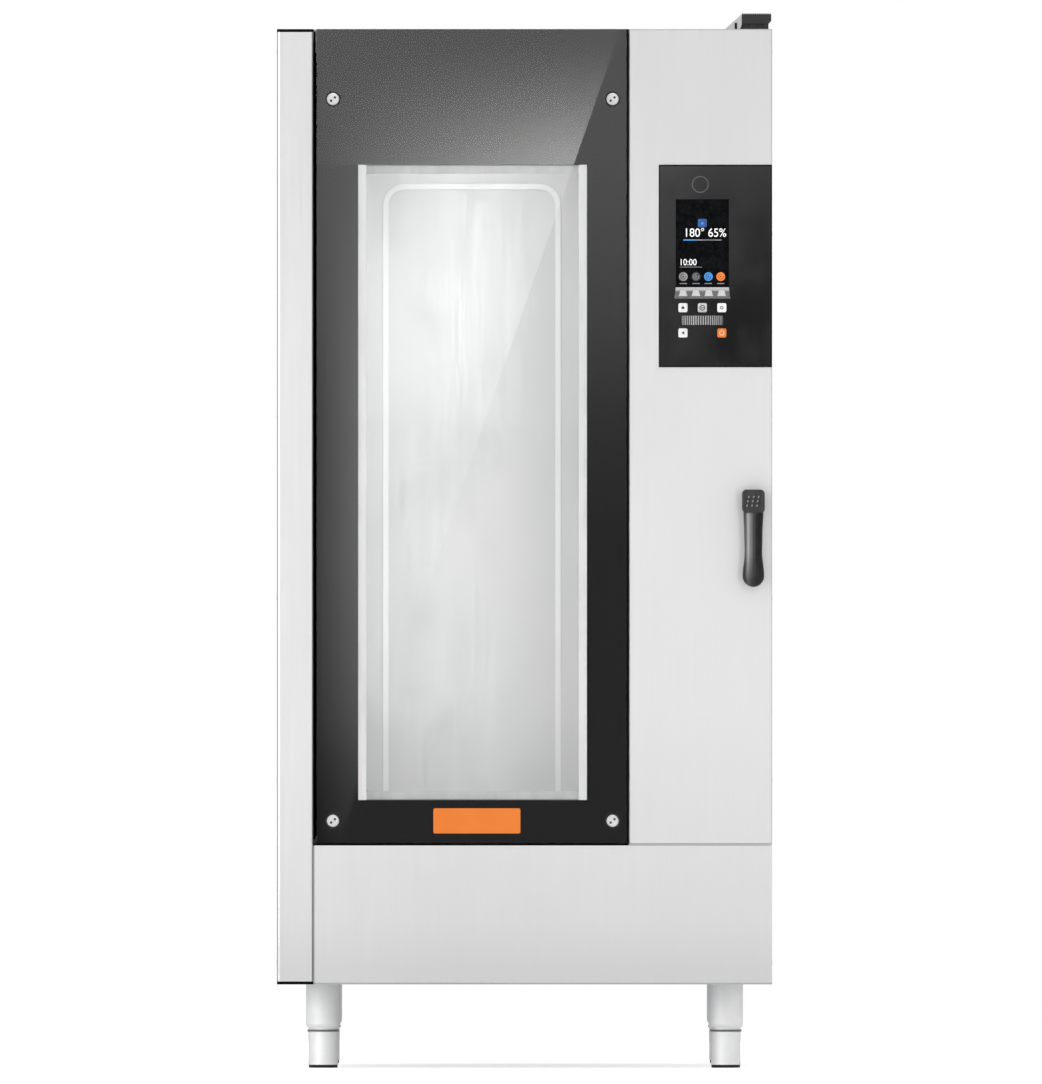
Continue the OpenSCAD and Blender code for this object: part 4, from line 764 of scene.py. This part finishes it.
TILE_Z = 1447.6
for x, name, face, mark in ((290.1, "grey", grey_glow, dim_glow), (313.5, "dim", dim_glow, grey_glow),
                            (336.0, "blue", blue_glow, deep_blue_glow),
                            (358.6, "orange", orange_glow, deep_orange_glow)):
    on_screen("tile_%s_face" % name, slab(circle(x, TILE_Z, 8.0, 40), SCREEN_Y), face)
    on_screen("tile_%s_ring" % name, ring(x, TILE_Z, 4.0, 5.2, TILE_MARK_Y, 32, 70, 380), mark)
    on_screen("tile_%s_dot" % name, slab(circle(x, TILE_Z, 1.5, 16), TILE_MARK_Y), mark)
    on_screen("tile_%s_label" % name, slab(rounded(x, TILE_Z - 12.6, 13.5, 1.5, 0.6), SCREEN_Y), grey_glow)

on_screen("clock_line", slab(rounded(304.0, 1465.0, 41.0, 0.9, 0.4), SCREEN_Y), grey_glow)
piece("plain_ring", ring(321.2, 1616.0, 13.6, 15.4, GLASS_Y, 56), "door", ring_mat)

KEY_RIGHT, KEY_HIGH, KEY_LOW = 360.5, 1390.75, 1344.65

piece("mark_home", slab([(286.9, 1388.4), (292.1, 1388.4), (292.1, 1391.4), (289.5, 1393.9), (286.9, 1391.4)],
                        KEY_Y), "key_home", mark_mat)
piece("mark_back", slab([(292.0, 1341.8), (292.0, 1347.5), (286.4, KEY_LOW)], KEY_Y),
      "key_back", mark_mat)
piece("mark_mode", ring(PANEL_X, KEY_HIGH, 3.6, 5.2, KEY_Y, 32), "key_mode", mark_mat)
piece("mark_mode_bar", slab(rounded(PANEL_X, KEY_HIGH, 6.0, 1.5, 0.5), KEY_Y), "key_mode", mark_mat)
piece("mark_light", ring(KEY_RIGHT, KEY_HIGH, 1.7, 3.0, KEY_Y, 24), "key_light", mark_mat)
piece("mark_start", ring(KEY_RIGHT, KEY_LOW, 3.3, 4.8, KEY_Y, 32, 120, 420),
      "key_start", pale_mark_mat)
piece("mark_start_bar", slab(rounded(KEY_RIGHT, 1348.6, 1.5, 4.2, 0.6), KEY_Y),
      "key_start", pale_mark_mat)


# ---------------------------------------------------------------- camera

EYE_X, EYE_Z, GLASS_FRONT, EYE_AWAY = -0.0064, 0.9626, FRONT * MM, 80.0
SENSOR, SEEN_HEIGHT = 36.0, 1.98094

scene = bpy.context.scene
lens = bpy.data.cameras.new("camera")
lens.sensor_width = SENSOR
lens.lens = SENSOR * EYE_AWAY / SEEN_HEIGHT
lens.clip_start = 1.0
lens.clip_end = 400.0
camera = bpy.data.objects.new("camera", lens)
camera.location = (EYE_X, GLASS_FRONT - EYE_AWAY, EYE_Z)
camera.rotation_euler = (math.pi / 2, 0, 0)
scene.collection.objects.link(camera)
scene.camera = camera
scene.view_settings.view_transform = "Standard"

# ---------------------------------------------------------------- room

world = bpy.data.worlds.new("studio")
world.use_nodes = True
scene.world = world
sky = world.node_tree
ambient = sky.nodes["Background"]
ambient.inputs["Color"].default_value = (1, 1, 1, 1)
ambient.inputs["Strength"].default_value = 0.62
white = sky.nodes.new("ShaderNodeBackground")
white.inputs["Color"].default_value = (1, 1, 1, 1)
white.inputs["Strength"].default_value = 1.0


def seen_rays(tree):
    """1 for camera, glossy and transmission rays."""
    path = tree.nodes.new("ShaderNodeLightPath")
    total = path.outputs["Is Camera Ray"]
    for name in ("Is Glossy Ray", "Is Transmission Ray"):
        larger = tree.nodes.new("ShaderNodeMath")
        larger.operation = "MAXIMUM"
        tree.links.new(total, larger.inputs[0])
        tree.links.new(path.outputs[name], larger.inputs[1])
        total = larger.outputs["Value"]
    return total


blend = sky.nodes.new("ShaderNodeMixShader")
sky.links.new(seen_rays(sky), blend.inputs["Fac"])
sky.links.new(ambient.outputs["Background"], blend.inputs[1])
sky.links.new(white.outputs["Background"], blend.inputs[2])
sky.links.new(blend.outputs["Shader"], sky.nodes["World Output"].inputs["Surface"])


def flat(name, corners, material):
    bm = bmesh.new()
    bm.faces.new([bm.verts.new(c) for c in corners])
    mesh = bpy.data.meshes.new(name)
    bm.to_mesh(mesh)
    bm.free()
    mesh.materials.append(material)
    obj = bpy.data.objects.new(name, mesh)
    scene.collection.objects.link(obj)
    return obj


floor_look = Material("floor", Roughness=0.9)
floor_look.to("Base Color", floor_look.ramp(floor_look.noise((3, 3, 3)), [(0.3, "eeeeee"), (0.7, "f4f4f4")]))
floor_look.shader.inputs["Emission Color"].default_value = (1, 1, 1, 1)
straight = floor_look.math("MULTIPLY", floor_look.node("LightPath").outputs["Is Camera Ray"], 0.3)
floor_look.to("Emission Strength", floor_look.math("ADD", straight,
                                                   floor_look.math("MULTIPLY", seen_rays(floor_look.tree), 0.22)))
flat("floor", ((-4, -4, 0), (4, -4, 0), (4, 4, 0), (-4, 4, 0)), floor_look.made)

# A card far behind the camera gives the two glasses their reflection. It is drawn in the glass's own
# place and size, and enlarged about the camera's axis.
card_look = Material("reflection_card")
tree = card_look.tree
x, z = card_look.part(0), card_look.part(2)
WINDOW_LEFT, WINDOW_RIGHT, WINDOW_LOW, WINDOW_HIGH = -0.304, 0.114, 0.491, 1.652


def chained(operation, parts):
    total = parts[0]
    for part in parts[1:]:
        total = card_look.math(operation, total, part)
    return total


def sums(*parts):
    return chained("ADD", parts)


def times(*parts):
    return chained("MULTIPLY", parts)


def either(mask, inside, outside):
    return sums(times(mask, inside), times(card_look.math("SUBTRACT", 1.0, mask), outside))


def graded(height, stops, top):
    """A strength over the glass's height, as (share, share of top)."""
    return times(card_look.ramp(height, stops), top)


height = card_look.spread(z, 0.0, 1.0, 0.40, 1.90)
across_strip = card_look.spread(x, 0.0, 1.0, -0.3806, WINDOW_LEFT)
is_top = card_look.math("GREATER_THAN", z, WINDOW_HIGH)
is_strip = card_look.math("LESS_THAN", x, WINDOW_LEFT)
is_window = times(card_look.math("LESS_THAN", z, WINDOW_HIGH), card_look.math("GREATER_THAN", z, WINDOW_LOW),
                  card_look.math("LESS_THAN", x, WINDOW_RIGHT), card_look.math("GREATER_THAN", x, WINDOW_LEFT))

# Left of the slanting edge: bright towards the window's upper right corner
top_band = sums(2.76, times(card_look.spread(x, 0.0, 7.07, -0.3706, 0.0686),
                            card_look.math("POWER", card_look.spread(z, 1.0, 0.0, 1.665, 1.892), 1.6)))
widening = card_look.spread(z, 1.0, 0.0, 1.222, 1.643)
strip = times(graded(height, [(0.0, 0.2), (0.06, 0.27), (0.109, 0.36), (0.158, 0.53), (0.231, 0.68),
                              (0.304, 0.76), (0.353, 0.84), (0.49, 0.88), (0.67, 1.0)], 1.0),
              sums(2.5, times(across_strip, 0.6), times(widening, sums(-0.85, times(across_strip, 2.15)))))
pane_light = graded(height, [(0.243, 0.0), (0.304, 0.1), (0.365, 0.25), (0.487, 0.3), (0.548, 0.4),
                             (0.67, 0.65), (0.835, 0.6)], 3.0)
lit_side = either(is_top, top_band, either(is_strip, strip, pane_light))

# Right of it: even across, darker downwards
shade = graded(height, [(0.0, 0.195), (0.377, 0.2), (0.451, 0.24), (0.524, 0.3), (0.573, 0.38),
                        (0.67, 0.545), (0.756, 0.66), (0.853, 0.767), (1.0, 0.8)], 3.0)
shaded_side = times(shade, card_look.math("SUBTRACT", 1.0, is_window))
# The slanting edge's upper end, and how far a point lies to its left
EDGE_X, EDGE_Z = 0.1693, 1.881
edge = sums(times(card_look.math("SUBTRACT", x, EDGE_X), -0.9449),
            times(card_look.math("SUBTRACT", z, EDGE_Z), 0.3275))
door_total = either(card_look.spread(edge, 0.0, 1.0, -0.0008, 0.0008), lit_side, shaded_side)

# The control glass fades from its upper left corner
panel = times(graded(card_look.spread(x, 0.0, 1.0, 0.2455, 0.4525), [(0.0, 1.0), (0.4, 0.84), (1.0, 0.71)], 1.62),
              graded(card_look.spread(z, 1.0, 0.0, 1.282, 1.652), [(0.0, 0.97), (0.1, 0.72), (0.22, 0.47),
                                                                   (0.34, 0.42), (0.46, 0.34), (0.6, 0.27),
                                                                   (0.95, 0.2)], 1.0))
total = either(card_look.math("GREATER_THAN", x, 0.22), panel, door_total)
glow_shader = card_look.node("Emission")
card_look.link(total, glow_shader.inputs["Strength"])
card_look.link(glow_shader.outputs["Emission"], tree.nodes["Material Output"].inputs["Surface"])
tree.nodes.remove(card_look.shader)

CARD_AWAY = 240.0
grow = 1 + CARD_AWAY / EYE_AWAY
card = flat("reflection_card", ((-0.43, 0, 0.36), (0.49, 0, 0.36), (0.49, 0, 1.95), (-0.43, 0, 1.95)),
            card_look.made)
card.location = (EYE_X * (1 - grow), GLASS_FRONT - CARD_AWAY, EYE_Z * (1 - grow))
card.scale = (grow, 1, grow)
card.visible_camera = False
card.visible_diffuse = False
card.visible_transmission = False
card.visible_volume_scatter = False
card.visible_shadow = False


def lamp(name, place, target, size, power, glossy=True):
    data = bpy.data.lights.new(name, "AREA")
    data.shape = "RECTANGLE"
    data.size, data.size_y = size
    data.energy = power
    obj = bpy.data.objects.new(name, data)
    obj.location = place
    obj.rotation_euler = (Vector(target) - Vector(place)).to_track_quat("-Z", "Y").to_euler()
    obj.visible_camera = False
    obj.visible_transmission = False
    obj.visible_glossy = glossy
    scene.collection.objects.link(obj)


lamp("key", (-2.6, -3.6, 3.1), (0, 0, 1.0), (1.8, 2.2), 42)
lamp("key_low", (-2.6, -3.6, 1.05), (0.4, -0.5, 1.0), (0.5, 1.5), 45)
lamp("strip_right", (0.95, -3.6, 1.1), (0.3, -0.49, 1.1), (0.3, 1.2), 3)
lamp("fill", (3.4, -2.4, 1.9), (0, 0, 1.0), (2.0, 2.4), 26, glossy=False)
lamp("top", (0, 0.2, 4.3), (0, 0.2, 0), (2.4, 2.4), 34)
lamp("rear", (0.6, 3.8, 2.3), (0, 0, 1.0), (2.4, 2.4), 48)
lamp("cavity_high", (-0.10, -0.30, 1.50), (-0.10, 0.34, 1.50), (0.1, 0.62), 0.8)
lamp("cavity_low", (-0.10, -0.30, 0.74), (-0.10, 0.34, 0.74), (0.1, 0.66), 0.5)
lamp("cavity_left", (-0.31, -0.38, 1.10), (-0.05, 0.34, 1.10), (0.04, 1.1), 0.7)
lamp("cavity_right", (0.11, -0.38, 1.10), (-0.15, 0.34, 1.10), (0.04, 1.1), 0.2)
